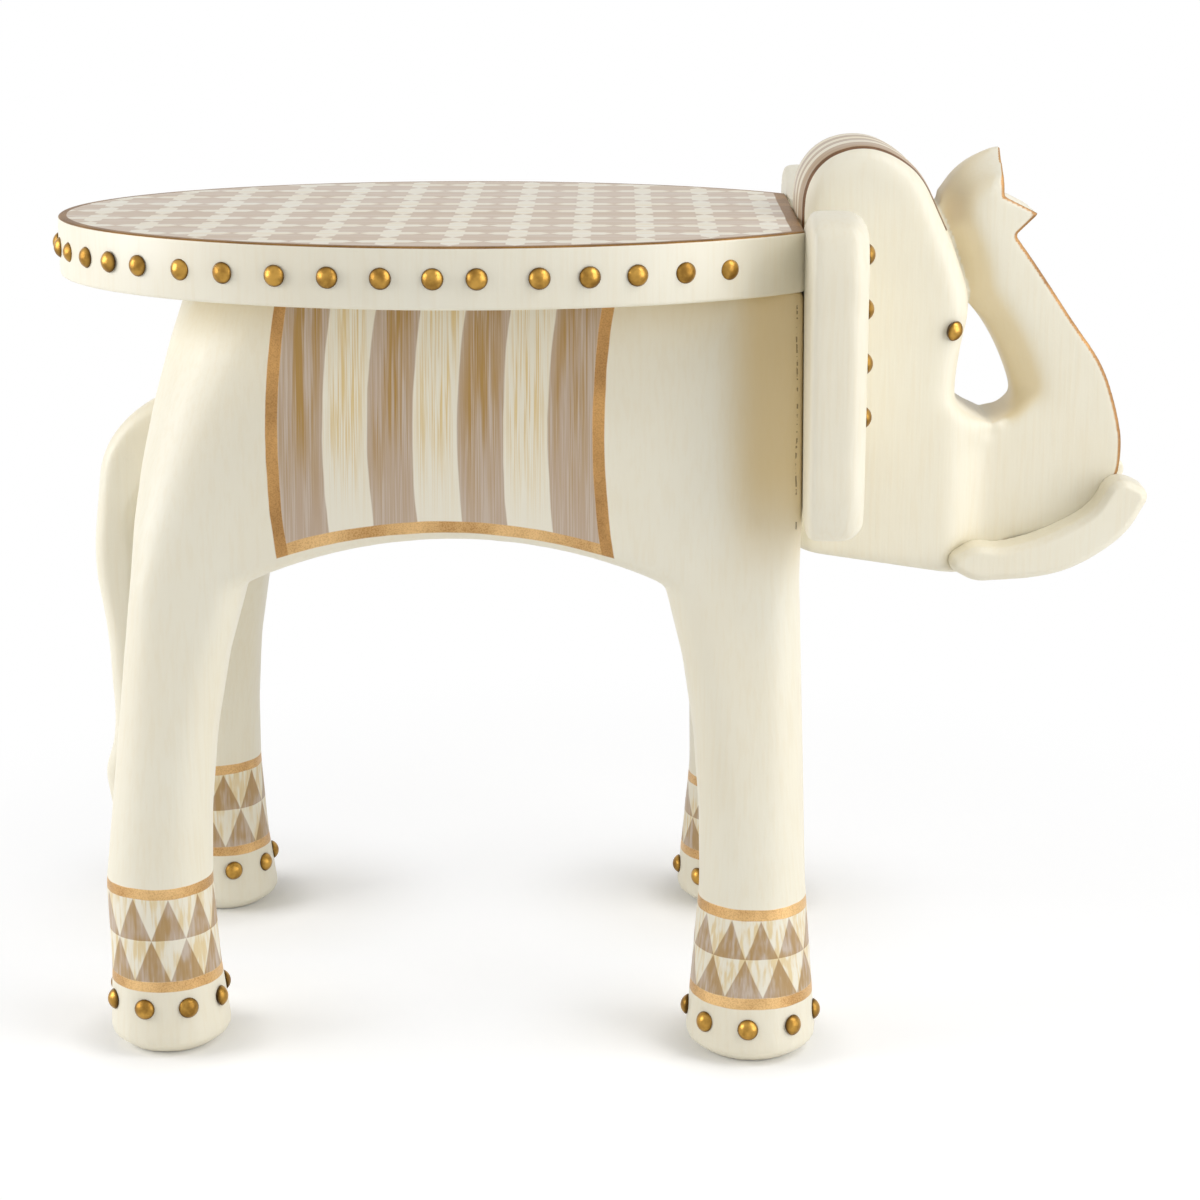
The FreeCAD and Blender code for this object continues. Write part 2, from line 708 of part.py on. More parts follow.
def make_tusk():
    """Left tusk: a crescent board on the trunk's side with rounded outer edges."""
    outline = tusk_outline()
    start = TRUNK_THICKNESS / 2
    tusk = board(outline, start, start + TUSK_THICKNESS, SIDEWAYS)
    return tusk.makeChamfer(TUSK_EDGE_BEVEL, edges_along(tusk, outline, SIDEWAYS * (start + TUSK_THICKNESS)))


def tusk_mortise():
    """Recess in the left cheek for the root of the tusk."""
    face = Part.Face(Part.Wire(Part.sortEdges(tusk_outline())[0])).makeOffset2D(TUSK_MORTISE_CLEARANCE)
    face.translate(SIDEWAYS * (TRUNK_THICKNESS / 2 - TUSK_MORTISE_CLEARANCE))
    return face.extrude(SIDEWAYS * HEAD_WIDTH)


def tail_point(out, down):
    """Point of the tail's outline from shares of its bulge and length."""
    return side_point(torso_rear_x(TAIL_ROOT_Z) - TAIL_BULGE * out, TAIL_ROOT_Z - TAIL_LENGTH * down)


def make_tail(torso):
    """Tail strip that leaves the rump in a bow and ends in a tuft; its root fits the rump."""
    points = [tail_point(out, down) for out, down in TAIL_OUTER_OUTLINE + TAIL_INNER_OUTLINE]
    outline = smooth_outline(points)
    within = [side_point(HIP_REAR_X + RUMP_LEAN, point.z) for point in (points[-1], points[0])]
    edges = list(outline)
    for start, end in ((points[-1], within[0]), (within[0], within[1]), (within[1], points[0])):
        edges.append(Part.makeLine(start, end))
    half = TAIL_THICKNESS / 2
    tail = board(edges, -half, half, SIDEWAYS)
    side_edges = edges_along(tail, outline, SIDEWAYS * half) + edges_along(tail, outline, SIDEWAYS * -half)
    return tail.makeChamfer(TAIL_EDGE_BEVEL, side_edges).cut(torso)


def tenon_joints():
    """The hidden glued joints by name."""
    top_front_x = NECK_X - TOP_TENON_END_INSET
    top_rear_x = top_front_x - TOP_TENON_PITCH
    top_places = [Vector(x, TOP_TENON_SPREAD, TOP_UNDERSIDE_Z) for x in (top_front_x, top_rear_x)]
    leg_places = [leg.hip_middle for leg in LEGS]
    neck_z = (TOP_UNDERSIDE_Z + TABLE_HEIGHT - NECK_DROP) / 2
    ear_place = Vector(NECK_X, (HEAD_WIDTH + TORSO_TOP_WIDTH) / 4, TABLE_HEIGHT - EAR_TENON_DROP)
    trunk_z = TABLE_HEIGHT - (FACE_DROP + LIP_FALL + JAW_DROP) / 2
    tusk_place = tusk_point(*TUSK_TENON_PLACE) + SIDEWAYS * (TRUNK_THICKNESS / 2)
    tail_z = TAIL_ROOT_Z - TAIL_LENGTH * TAIL_TENON_PLACE
    return {
        "tabletop_tenons": TenonJoint(with_mirror_images(top_places), UP, FORWARD, TOP_TENON),
        "leg_tenons": TenonJoint(with_mirror_images(leg_places), UP, FORWARD, LEG_TENON),
        "head_tenon": TenonJoint([side_point(NECK_X, neck_z)], FORWARD, UP, HEAD_TENON),
        "ear_tenons": TenonJoint(with_mirror_images([ear_place]), FORWARD, UP, EAR_TENON),
        "trunk_tenon": TenonJoint([side_point(TRUNK_X, trunk_z)], FORWARD, UP, TRUNK_TENON),
        "tusk_tenons": TenonJoint(with_mirror_images([tusk_place]), SIDEWAYS, FORWARD, TUSK_TENON),
        "tail_tenon": TenonJoint([side_point(torso_rear_x(tail_z), tail_z)], FORWARD, UP, TAIL_TENON),
    }


def build_nodes():
    """All pieces by name, each a list of solids."""
    joints = tenon_joints()
    nodes = {name: joint.tenons() for name, joint in joints.items()}
    mortises = {name: joint.mortises() for name, joint in joints.items()}
    whole_nail = nail()
    nail_hole = nail_shank(NAIL_HOLE_CLEARANCE)

    plain_top = make_tabletop()
    rim_seats = rim_nail_seats(plain_top)
    rim_nails = placed(whole_nail, rim_seats)
    rim_holes = placed(nail_hole, rim_seats)
    rim_holes += [mirrored(hole) for hole in rim_holes]
    nodes["tabletop"] = plain_top.cut(mortises["tabletop_tenons"] + rim_holes).Solids
    nodes["rim_nails"] = rim_nails + [mirrored(solid) for solid in rim_nails]

    plain_torso = make_torso()
    torso_joints = ("tabletop_tenons", "leg_tenons", "head_tenon", "ear_tenons", "tail_tenon")
    nodes["torso"] = plain_torso.cut([mortise for name in torso_joints for mortise in mortises[name]]).Solids
    nodes["tail"] = make_tail(plain_torso).cut(mortises["tail_tenon"]).Solids

    nodes["foot_nails"] = []
    for leg in LEGS:
        plain_leg = make_leg(leg)
        seats = foot_nail_seats(leg, plain_leg)
        solids = plain_leg.cut(mortises["leg_tenons"] + placed(nail_hole, seats)).Solids
        nails = placed(whole_nail, seats)
        nodes[f"leg_{leg.name}_left"] = solids
        nodes[f"leg_{leg.name}_right"] = [mirrored(solid) for solid in solids]
        nodes["foot_nails"] += nails + [mirrored(solid) for solid in nails]

    plain_head = make_head()
    eye_seats = [eye_seat(plain_head)]
    left_cuts = placed(nail_hole, eye_seats) + [tusk_mortise()]
    side_cuts = left_cuts + [mirrored(cut) for cut in left_cuts]
    nodes["head"] = plain_head.cut(mortises["head_tenon"] + mortises["trunk_tenon"] + side_cuts).Solids
    eyes = placed(whole_nail, eye_seats)
    nodes["eye_nails"] = eyes + [mirrored(eye) for eye in eyes]

    ear_seats = ear_nail_seats()
    ear = make_ear().cut(mortises["ear_tenons"] + placed(nail_hole, ear_seats)).Solids
    ear_nails = placed(whole_nail, ear_seats)
    nodes["ear_nails"] = ear_nails + [mirrored(solid) for solid in ear_nails]
    tusk = make_tusk().cut(mortises["tusk_tenons"]).Solids
    for name, solids in (("ear", ear), ("tusk", tusk)):
        nodes[f"{name}_left"] = solids
        nodes[f"{name}_right"] = [mirrored(solid) for solid in solids]

    nodes["trunk"] = make_trunk().cut(mortises["trunk_tenon"] + mortises["tusk_tenons"]).Solids
    return nodes


def main():
    """Write one file per piece or group of like pieces."""
    os.makedirs("parts", exist_ok=True)
    for name, solids in build_nodes().items():
        shape = solids[0] if len(solids) == 1 else Part.makeCompound(solids)
        shape.exportStep(f"parts/{name}.step")


main()
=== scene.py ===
import logging
import math
from dataclasses import dataclass
from enum import Enum
from typing import Optional, Sequence, Union

import bmesh
import bpy
import numpy as np
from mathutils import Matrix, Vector
from mathutils.bvhtree import BVHTree


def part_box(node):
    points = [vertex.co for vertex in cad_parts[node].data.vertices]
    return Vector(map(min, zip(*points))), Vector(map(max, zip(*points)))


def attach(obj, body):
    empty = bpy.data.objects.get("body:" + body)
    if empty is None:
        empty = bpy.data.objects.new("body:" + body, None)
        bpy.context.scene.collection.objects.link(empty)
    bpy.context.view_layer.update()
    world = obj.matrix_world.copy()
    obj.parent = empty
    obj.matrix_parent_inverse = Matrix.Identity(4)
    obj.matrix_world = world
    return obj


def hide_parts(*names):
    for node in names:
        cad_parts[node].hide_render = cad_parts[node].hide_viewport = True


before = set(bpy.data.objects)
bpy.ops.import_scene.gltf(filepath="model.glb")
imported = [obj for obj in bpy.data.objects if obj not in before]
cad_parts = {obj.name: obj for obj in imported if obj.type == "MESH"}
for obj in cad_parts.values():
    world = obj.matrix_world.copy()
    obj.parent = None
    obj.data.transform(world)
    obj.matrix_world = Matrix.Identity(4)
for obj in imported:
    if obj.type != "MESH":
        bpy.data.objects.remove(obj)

# Carved and painted elephant side table. Meshes are in metres, paint is laid out in millimetres,
# and both share the frame of the solids: +X to the trunk, +Y to the elephant's left, +Z up.

log = logging.getLogger("elephant_table")
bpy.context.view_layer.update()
BODY = "root"
LEGS = ("leg_front_left", "leg_front_right", "leg_rear_left", "leg_rear_right")
NAILS = ("rim_nails", "ear_nails", "eye_nails", "foot_nails")
MM = 0.001
WELD = 0.001 * MM
FLAT = 0.1 * MM
CLEAR_COAT_ROUGHNESS = 0.3
SHADE_GLAZE_ROUGHNESS = 0.4
Colour = tuple[float, float, float, float]
Size = tuple[float, float, float]
Edge = tuple[float, float]  # the level of a mask's edge and half the width of that edge
Value = Union["Signal", float]
Tint = Union["Signal", Colour]
WHITE: Colour = (1.0, 1.0, 1.0, 1.0)


class Slot(Enum):
    """Names of the record's material slots for the new pieces; they are passed along but not assigned."""

    TOP_PAINT = "top_paint"
    BODY_PAINT = "body_paint"
    NAIL_BRASS = "nail_brass"


def srgb(red: int, green: int, blue: int) -> Colour:
    """Turn a colour as seen on a screen into the shader's linear one.

    Args:
        red: Red from 0 to 255.
        green: Green from 0 to 255.
        blue: Blue from 0 to 255.

    Returns:
        The linear colour with full alpha.
    """
    shares = [part / 255 for part in (red, green, blue)]
    linear = [part / 12.92 if part <= 0.04045 else ((part + 0.055) / 1.055) ** 2.4 for part in shares]
    return (linear[0], linear[1], linear[2], 1.0)


class Signal:
    """A shader socket that takes part in Python sums; each operator adds one node."""

    def __init__(self, bench: "PaintBench", socket: Optional[bpy.types.NodeSocket]) -> None:
        """Wrap a socket of the bench's node tree."""
        self.bench = bench
        self.socket = socket

    def maths(self, operation: str, *operands: Value) -> "Signal":
        """Add a Math node whose first value is this one."""
        return self.bench.maths(operation, self, *operands)

    def __add__(self, other: Value) -> "Signal":
        """Sum of two values."""
        return self.maths("ADD", other)

    def __radd__(self, other: Value) -> "Signal":
        """Sum with a number on the left."""
        return self.bench.maths("ADD", other, self)

    def __sub__(self, other: Value) -> "Signal":
        """Difference of two values."""
        return self.maths("SUBTRACT", other)

    def __rsub__(self, other: Value) -> "Signal":
        """Difference from a number on the left."""
        return self.bench.maths("SUBTRACT", other, self)

    def __mul__(self, other: Value) -> "Signal":
        """Product of two values."""
        return self.maths("MULTIPLY", other)

    def __rmul__(self, other: Value) -> "Signal":
        """Product with a number on the left."""
        return self.bench.maths("MULTIPLY", other, self)

    def __truediv__(self, other: Value) -> "Signal":
        """Quotient of two values."""
        return self.maths("DIVIDE", other)

    def __rtruediv__(self, other: Value) -> "Signal":
        """Quotient of a number on the left."""
        return self.bench.maths("DIVIDE", other, self)

    def __abs__(self) -> "Signal":
        """Size of a value without its sign."""
        return self.maths("ABSOLUTE")

    def least(self, other: Value) -> "Signal":
        """The smaller of two values."""
        return self.maths("MINIMUM", other)

    def most(self, other: Value) -> "Signal":
        """The larger of two values."""
        return self.maths("MAXIMUM", other)

    def part(self) -> "Signal":
        """What is left above the whole number below."""
        return self.maths("FRACT")

    def above(self, level: Value, softness: float) -> "Signal":
        """Mask of the places where this value is above a level.

        Args:
            level: The level at the middle of the mask's edge.
            softness: Half the width of that edge.

        Returns:
            A mask from 0 to 1.
        """
        return self.bench.node(
            "ShaderNodeMapRange",
            {"interpolation_type": "SMOOTHSTEP"},
            {"Value": self - level, "From Min": -softness, "From Max": softness},
        )

    def below(self, level: Value, softness: float) -> "Signal":
        """Mask of the places where this value is below a level, as in above."""
        return 1 - self.above(level, softness)

    def ramp(self, start: float, end: float) -> "Signal":
        """Mask that rises from 0 at the start to 1 at the end."""
        return self.above((start + end) / 2, (end - start) / 2)

    def stripes(self, softness: float) -> "Signal":
        """Mask of every other unit of length, the first one included."""
        return (self * math.pi).maths("SINE").above(0.0, softness)

    def shown(self, cloud: "Cloud") -> "Signal":
        """Mask of the places where this value of a cloud shows, times its share."""
        return self.above(*cloud.edge) * cloud.share


def distance(along: Signal, aside: Signal) -> Signal:
    """Length of a line from its lengths along two axes."""
    return (along * along + aside * aside).maths("SQRT")


@dataclass(frozen=True)
class Cloud:
    """Noise: its size in millimetres, its finer layers and a shift that tells it from other noise.

    The edge is where it shows, and the share how much of it shows or how far a line strays with it.
    """

    across: Size
    detail: float = 2.0
    shift: float = 0.0
    edge: Edge = (0.5, 0.2)
    share: float = 1.0


@dataclass(frozen=True)
class Place:
    """Where a point of the surface is, in millimetres of the table's frame."""

    bench: "PaintBench"
    x: Signal
    y: Signal
    z: Signal

    def noise(self, cloud: Cloud) -> Signal:
        """Find a cloud's value.

        Args:
            cloud: The noise.

        Returns:
            A value around 0.5.
        """
        along, aside, up = cloud.across
        moved = self.bench.vector(self.x / along + cloud.shift, self.y / aside, self.z / up)
        sockets = {"Vector": moved, "Scale": 1.0, "Detail": cloud.detail}
        return self.bench.node("ShaderNodeTexNoise", {}, sockets)

    def waver(self, cloud: Cloud) -> Signal:
        """Length around 0 by which a painted line strays."""
        return (self.noise(cloud) - 0.5) * cloud.share


@dataclass(frozen=True)
class Coat:
    """What a painted surface feeds its shader with.

    Relief is in millimetres, and gloss is a share of the clear coat.
    """

    colour: Tint
    metallic: Value
    roughness: Value
    relief: Value
    gloss: Value = 1.0

    def under(self, mask: Signal, paint: "Coat") -> "Coat":
        """Lay another paint over this one.

        Args:
            mask: Where the other paint is.
            paint: The other paint.

        Returns:
            The surface with both.
        """
        bench = mask.bench
        return Coat(
            bench.mix(mask, self.colour, paint.colour),
            bench.between(mask, self.metallic, paint.metallic),
            bench.between(mask, self.roughness, paint.roughness),
            bench.between(mask, self.relief, paint.relief),
            bench.between(mask, self.gloss, paint.gloss),
        )


class PaintBench:
    """Node tree of one finish and the few ways in which its nodes are made."""

    def __init__(self, tree: bpy.types.NodeTree) -> None:
        """Start with an empty tree."""
        self.tree = tree
        self.tree.nodes.clear()

    def node(
        self,
        kind: str,
        settings: dict[str, object],
        sockets: dict[Union[int, str], object],
        output: Union[int, str] = 0,
    ) -> Signal:
        """Add a node.

        Args:
            kind: The node's type.
            settings: Its properties, which are set first.
            sockets: Values or signals of its inputs, by number or name.
            output: The output that is wanted.

        Returns:
            That output, or an empty signal where the node has none.
        """
        made = self.tree.nodes.new(kind)
        for name, value in settings.items():
            setattr(made, name, value)
        for name, value in sockets.items():
            if isinstance(value, Signal):
                self.tree.links.new(value.socket, made.inputs[name])
            else:
                made.inputs[name].default_value = value
        return Signal(self, made.outputs[output] if made.outputs else None)

    def maths(self, operation: str, *operands: Value) -> Signal:
        """Add a Math node with the given operation and values."""
        return self.node("ShaderNodeMath", {"operation": operation}, dict(enumerate(operands)))

    def vector(self, x: Value, y: Value, z: Value) -> Signal:
        """Join three values."""
        return self.node("ShaderNodeCombineXYZ", {}, {"X": x, "Y": y, "Z": z})

    def mix(self, mask: Value, under: Tint, over: Tint) -> Signal:
        """Colour that goes from under to over with a mask; the node has its colours at 6, 7 and 2."""
        return self.node("ShaderNodeMix", {"data_type": "RGBA"}, {0: mask, 6: under, 7: over}, 2)

    def blend(self, mask: Signal, under: Signal, over: Signal) -> Signal:
        """Shader that goes from under to over with a mask."""
        return self.node("ShaderNodeMixShader", {}, {0: mask, 1: under, 2: over})

    def glow(self, strength: float) -> Signal:
        """Shader that gives off white light."""
        return self.node("ShaderNodeEmission", {}, {"Color": WHITE, "Strength": strength})

    def between(self, mask: Signal, under: Value, over: Value) -> Value:
        """Value that goes from under to over with a mask."""
        if isinstance(under, float) and isinstance(over, float) and under == over:
            return under
        return under + mask * (over - under)

    def axes(self, source: str, output: str, scale: float) -> tuple[Signal, Signal, Signal]:
        """Split a vector output of an input node into its scaled X, Y and Z.

        Args:
            source: The node's type.
            output: The output's name.
            scale: What the three values are multiplied by.

        Returns:
            The three values.
        """
        vector = self.node(source, {}, {}, output)
        parts = [self.node("ShaderNodeSeparateXYZ", {}, {"Vector": vector}, axis) for axis in "XYZ"]
        return (parts[0] * scale, parts[1] * scale, parts[2] * scale)

    def place(self) -> Place:
        """Where the point is, in millimetres."""
        return Place(self, *self.axes("ShaderNodeTexCoord", "Object", 1 / MM))

    def facing(self) -> tuple[Signal, Signal, Signal]:
        """Direction that the surface faces."""
        return self.axes("ShaderNodeNewGeometry", "Normal", 1.0)

    def varnish(self, coat: Coat, gloss: float) -> None:
        """End the tree in a shader.

        Args:
            coat: What the shader is fed with.
            gloss: Weight of the clear coat over the paint.
        """
        normal = self.node("ShaderNodeBump", {}, {"Height": coat.relief, "Distance": MM})
        sockets = {
            "Base Color": coat.colour,
            "Metallic": coat.metallic,
            "Roughness": coat.roughness,
            "Normal": normal,
            "Coat Weight": coat.gloss * gloss,
            "Coat Roughness": CLEAR_COAT_ROUGHNESS,
        }
        shader = self.node("ShaderNodeBsdfPrincipled", {}, sockets)
        self.node("ShaderNodeOutputMaterial", {}, {"Surface": shader})


def new_bench(name: str) -> tuple[bpy.types.Material, PaintBench]:
    """Make an empty material.

    Args:
        name: The material's name.

    Returns:
        The material and the bench of its tree.
    """
    material = bpy.data.materials.new(name)
    material.use_nodes = True
    return material, PaintBench(material.node_tree)


def shade_glaze_coat(colour: Colour) -> Coat:
    """Thin glaze of a colour, without relief, with which shade is painted."""
    return Coat(colour, 0.0, SHADE_GLAZE_ROUGHNESS, 0.0)


@dataclass(frozen=True)
class IvoryPaint:
    """Satin ivory paint, brushed by hand over carved wood."""

    colour: Colour = srgb(238, 233, 215)
    warm_colour: Colour = srgb(232, 221, 194)
    cloud: Cloud = Cloud((60.0, 60.0, 90.0), 3.0, edge=(0.5, 0.25), share=0.35)
    stroke: Cloud = Cloud((2.2, 2.2, 34.0), 4.0, 7.0, (0.56, 0.12), 0.22)
    pore: Cloud = Cloud((3.0, 3.0, 3.0), shift=3.0)
    roughness: float = 0.42
    stroke_roughness: float = 0.12
    stroke_relief: float = 0.1
    pore_relief: float = 0.05

    def coat(self, place: Place) -> Coat:
        """Bare ivory surface.

        Args:
            place: Where the point is.

        Returns:
            The coat that every other paint lies on.
        """
        strokes = place.noise(self.stroke)
        warmth = place.noise(self.cloud).shown(self.cloud) + strokes.shown(self.stroke)
        return Coat(
            place.bench.mix(warmth, self.colour, self.warm_colour),
            0.0,
            self.roughness + strokes * self.stroke_roughness,
            strokes * self.stroke_relief + place.noise(self.pore) * self.pore_relief,
        )


@dataclass(frozen=True)
class GoldPaint:
    """Bronze-gold paint with the grain of its powder."""

    colour: Colour = srgb(232, 192, 132)
    dark_colour: Colour = srgb(168, 120, 58)
    metallic: float = 0.5
    roughness: float = 0.36
    gloss: float = 1.0
    thickness: float = 0.1
    cloud: Cloud = Cloud((26.0, 26.0, 34.0), 3.0, 2.0, (0.52, 0.2), 0.6)
    grain: Cloud = Cloud((0.8, 0.8, 0.8), 2.0, 5.0, (0.55, 0.15), 0.35)
    grain_roughness: float = 0.2
    grain_relief: float = 0.12

    def coat(self, place: Place) -> Coat:
        """Gold surface.

        Args:
            place: Where the point is.

        Returns:
            The coat of the paint.
        """
        grain = place.noise(self.grain)
        depth = place.noise(self.cloud).shown(self.cloud) + grain.shown(self.grain)
        return Coat(
            place.bench.mix(depth, self.colour, self.dark_colour),
            self.metallic,
            self.roughness + grain * self.grain_roughness,
            grain * self.grain_relief + self.thickness,
            self.gloss,
        )


@dataclass(frozen=True)
class StripePaint:
    """Taupe and cream stripes, dry brushed along their length with pale streaks and an ochre wash."""

    taupe: Colour = srgb(186, 164, 142)
    taupe_streak: Colour = srgb(212, 202, 190)
    taupe_wash: Colour = srgb(170, 133, 68)
    cream: Colour = srgb(236, 230, 212)
    cream_wash: Colour = srgb(222, 197, 142)
    roughness: float = 0.4
    thickness: float = 0.05
    bristle_shift: float = 11.0
    bristle_roughness: float = 0.15
    bristle_relief: float = 0.16
    streak_edge: Edge = (0.54, 0.1)
    streak_share: float = 0.45
    hair_shift: float = 17.0
    hair_share: float = 0.45
    hair_edge: Edge = (0.48, 0.1)
    sweep_width: float = 7.0
    sweep_length: float = 0.8
    sweep_shift: float = 23.0
    sweep_share: float = 0.55
    wash_edge: Edge = (0.49, 0.1)

    def coat(self, place: Place, taupe: Signal, stroke: Size, wash: Value) -> Coat:
        """Striped surface.

        Args:
            place: Where the point is.
            taupe: Mask of the taupe stripes.
            stroke: Size of one bristle's streak along X, Y and Z.
            wash: How strong the ochre wash is, from 0 to 1.

        Returns:
            The coat of the stripes.
        """
        mix = place.bench.mix
        along, aside, up = stroke
        broad = (along * self.sweep_width, aside * self.sweep_width, up * self.sweep_length)
        bristles = place.noise(Cloud(stroke, shift=self.bristle_shift))
        hairs = place.noise(Cloud(stroke, shift=self.hair_shift))
        sweeps = place.noise(Cloud(broad, shift=self.sweep_shift))
        streak = bristles.above(*self.streak_edge) * self.streak_share
        brushed = sweeps * self.sweep_share + hairs * self.hair_share
        washed = brushed.above(*self.wash_edge) * wash
        dark = mix(washed, mix(streak, self.taupe, self.taupe_streak), self.taupe_wash)
        pale = mix(washed * hairs.above(*self.hair_edge), self.cream, self.cream_wash)
        return Coat(
            mix(taupe, pale, dark),
            0.0,
            self.roughness + bristles * self.bristle_roughness,
            bristles * self.bristle_relief + self.thickness,
        )


@dataclass(frozen=True)
class SaddleBlanket:
    """Striped blanket painted on both flanks, with a gold border; its sides bow towards the rump."""

    paint: StripePaint = StripePaint()
    hem_gold: GoldPaint = GoldPaint()
    side_gold: GoldPaint = GoldPaint(colour=srgb(204, 156, 92), dark_colour=srgb(144, 102, 50))
    left: float = -175.0
    right: float = 9.2
    stripes: int = 7
    stripe_edge: float = 0.05
    border: float = 6.6
    border_edge: float = 0.3
    bow: float = 5.5
    bow_middle: float = 348.0
    bow_half: float = 69.0
    hem_low: float = 281.0
    hem_rise: float = 14.0
    flank: Edge = (60.0, 2.0)
    stroke: Size = (0.7, 9.0, 110.0)
    wash_height: Edge = (326.0, 38.0)
    wash_aside: Edge = (0.4, 0.2)
    waver: Cloud = Cloud((40.0, 40.0, 40.0), shift=31.0)
    side_stray: float = 2.4
    hem_stray: float = 2.0

    def over(self, coat: Coat, place: Place) -> Coat:
        """Paint the blanket over a coat.

        Args:
            coat: What it lies on.
            place: Where the point is.

        Returns:
            The coat with the blanket.
        """
        waver = place.waver(self.waver)
        height = (place.z - self.bow_middle) / self.bow_half
        across = place.x + self.bow * (1 - height * height) + waver * self.side_stray
        half = (self.right - self.left) / 2
        from_middle = (across - (self.left + half)) / half
        hem = self.hem_low + self.hem_rise * (1 - from_middle * from_middle) + waver * self.hem_stray
        from_side = (across - self.left).least(self.right - across)
        inside = from_side.least(place.z - hem)
        stripe_width = (2 * (half - self.border)) / self.stripes
        count = (across - (self.left + self.border)) / stripe_width
        from_centre = abs(count.part() - 0.5)
        # The ochre wash grows stronger towards the top of the blanket, under the tabletop, and lies in the
        # middles of the stripes.
        wash = place.z.above(*self.wash_height) * from_centre.below(*self.wash_aside)
        blanket = self.paint.coat(place, count.stripes(self.stripe_edge), self.stroke, wash)
        for border, gold in ((inside, self.hem_gold), (from_side, self.side_gold)):
            blanket = blanket.under(border.below(self.border, self.border_edge), gold.coat(place))
        on_flank = abs(place.y).above(*self.flank)
        return coat.under(inside.above(0.0, self.border_edge) * on_flank, blanket)


@dataclass(frozen=True)
class Anklet:
    """Painted band round a pair of feet: two rows of teeth between two gold rings."""

    middle_x: float
    middle_y: float
    top: float
    bottom: float
    ring: float = 6.0
    ring_edge: float = 0.3
    teeth: int = 9
    rows: int = 2
    tooth_edge: float = 0.04
    reach: Edge = (60.0, 2.0)
    paint: StripePaint = StripePaint()
    gold: GoldPaint = GoldPaint()
    stroke: Size = (2.2, 2.2, 24.0)
    wash: float = 0.8
    waver: Cloud = Cloud((26.0, 26.0, 26.0), shift=41.0, share=2.0)
    tooth_stray: float = 0.02

    def over(self, coat: Coat, place: Place) -> Coat:
        """Paint the band over a coat.

        Args:
            coat: What it lies on.
            place: Where the point is.

        Returns:
            The coat with the band.
        """
        stray = place.waver(self.waver)
        height = place.z + stray
        turn = (abs(place.y) - self.middle_y).maths("ARCTAN2", place.x - self.middle_x)
        around = turn * (self.teeth / (2 * math.pi))
        rows_per_length = self.rows / (self.top - self.bottom - 2 * self.ring)
        row = (height - (self.bottom + self.ring)) * rows_per_length
        turned = around + row.maths("FLOOR") * 0.5 + stray * self.tooth_stray
        tooth = abs(turned.part() - 0.5) * 2
        taupe = (tooth + row.part()).below(1.0, self.tooth_edge)
        band = self.paint.coat(place, taupe, self.stroke, self.wash)
        inside = (height - self.bottom).least(self.top - height)
        band = band.under(inside.below(self.ring, self.ring_edge), self.gold.coat(place))
        near = abs(place.x - self.middle_x).below(*self.reach)
        return coat.under(inside.above(0.0, self.ring_edge) * near, band)


@dataclass(frozen=True)
class NeckSeam:
    """Painted warm shade, partly an antique glaze, in the corner behind the ears and along the top of the
    flanks under the tabletop, with a row of small paint cracks along the joint.
    """

    neck: float
    top: float
    low: float = 296.0
    flank: Edge = (60.0, 4.0)
    shade_glaze: Colour = srgb(216, 186, 118)
    shade_glaze_start: float = 37.0
    shade_glaze_fade: float = 15.0
    shade_glaze_share: float = 0.7
    shade_glaze_rise: float = 40.0
    brow_start: float = 12.0
    brow_fade: float = 24.0
    brow_share: float = 0.42
    crack: Coat = Coat(srgb(84, 62, 34), 0.0, 0.8, -0.3)
    crack_inset: float = 3.6
    crack_width: Edge = (0.35, 0.25)
    crack_rise: float = 3.0
    crack_share: float = 0.7
    speck: Cloud = Cloud((6.0, 6.0, 3.2), shift=51.0, edge=(0.53, 0.03))
    waver: Cloud = Cloud((20.0, 20.0, 20.0), shift=53.0, share=2.4)

    def over(self, coat: Coat, place: Place) -> Coat:
        """Paint warm shade onto a coat and crack it along the joint.

        Args:
            coat: The whole paint.
            place: Where the point is.

        Returns:
            The coat with painted shade and cracks.
        """
        # Painted shade, partly an antique glaze: warm colour in the corner behind the ears and along the
        # top of the flanks under the tabletop.
        on_flank = abs(place.y).above(*self.flank)
        corner = place.x.above(self.neck - self.shade_glaze_start, self.shade_glaze_fade) * self.shade_glaze_share
        brow = place.z.above(self.top - self.brow_start, self.brow_fade) * self.brow_share
        shade = corner.most(brow) * place.z.above(self.low, self.shade_glaze_rise) * on_flank
        coat = coat.under(shade, shade_glaze_coat(self.shade_glaze))
        specks = place.noise(self.speck).above(*self.speck.edge)
        across = place.x + place.waver(self.waver) - (self.neck - self.crack_inset)
        line = abs(across).below(*self.crack_width) * specks
        cracks = line * place.z.above(self.low, self.crack_rise) * on_flank
        return coat.under(cracks * self.crack_share, self.crack)


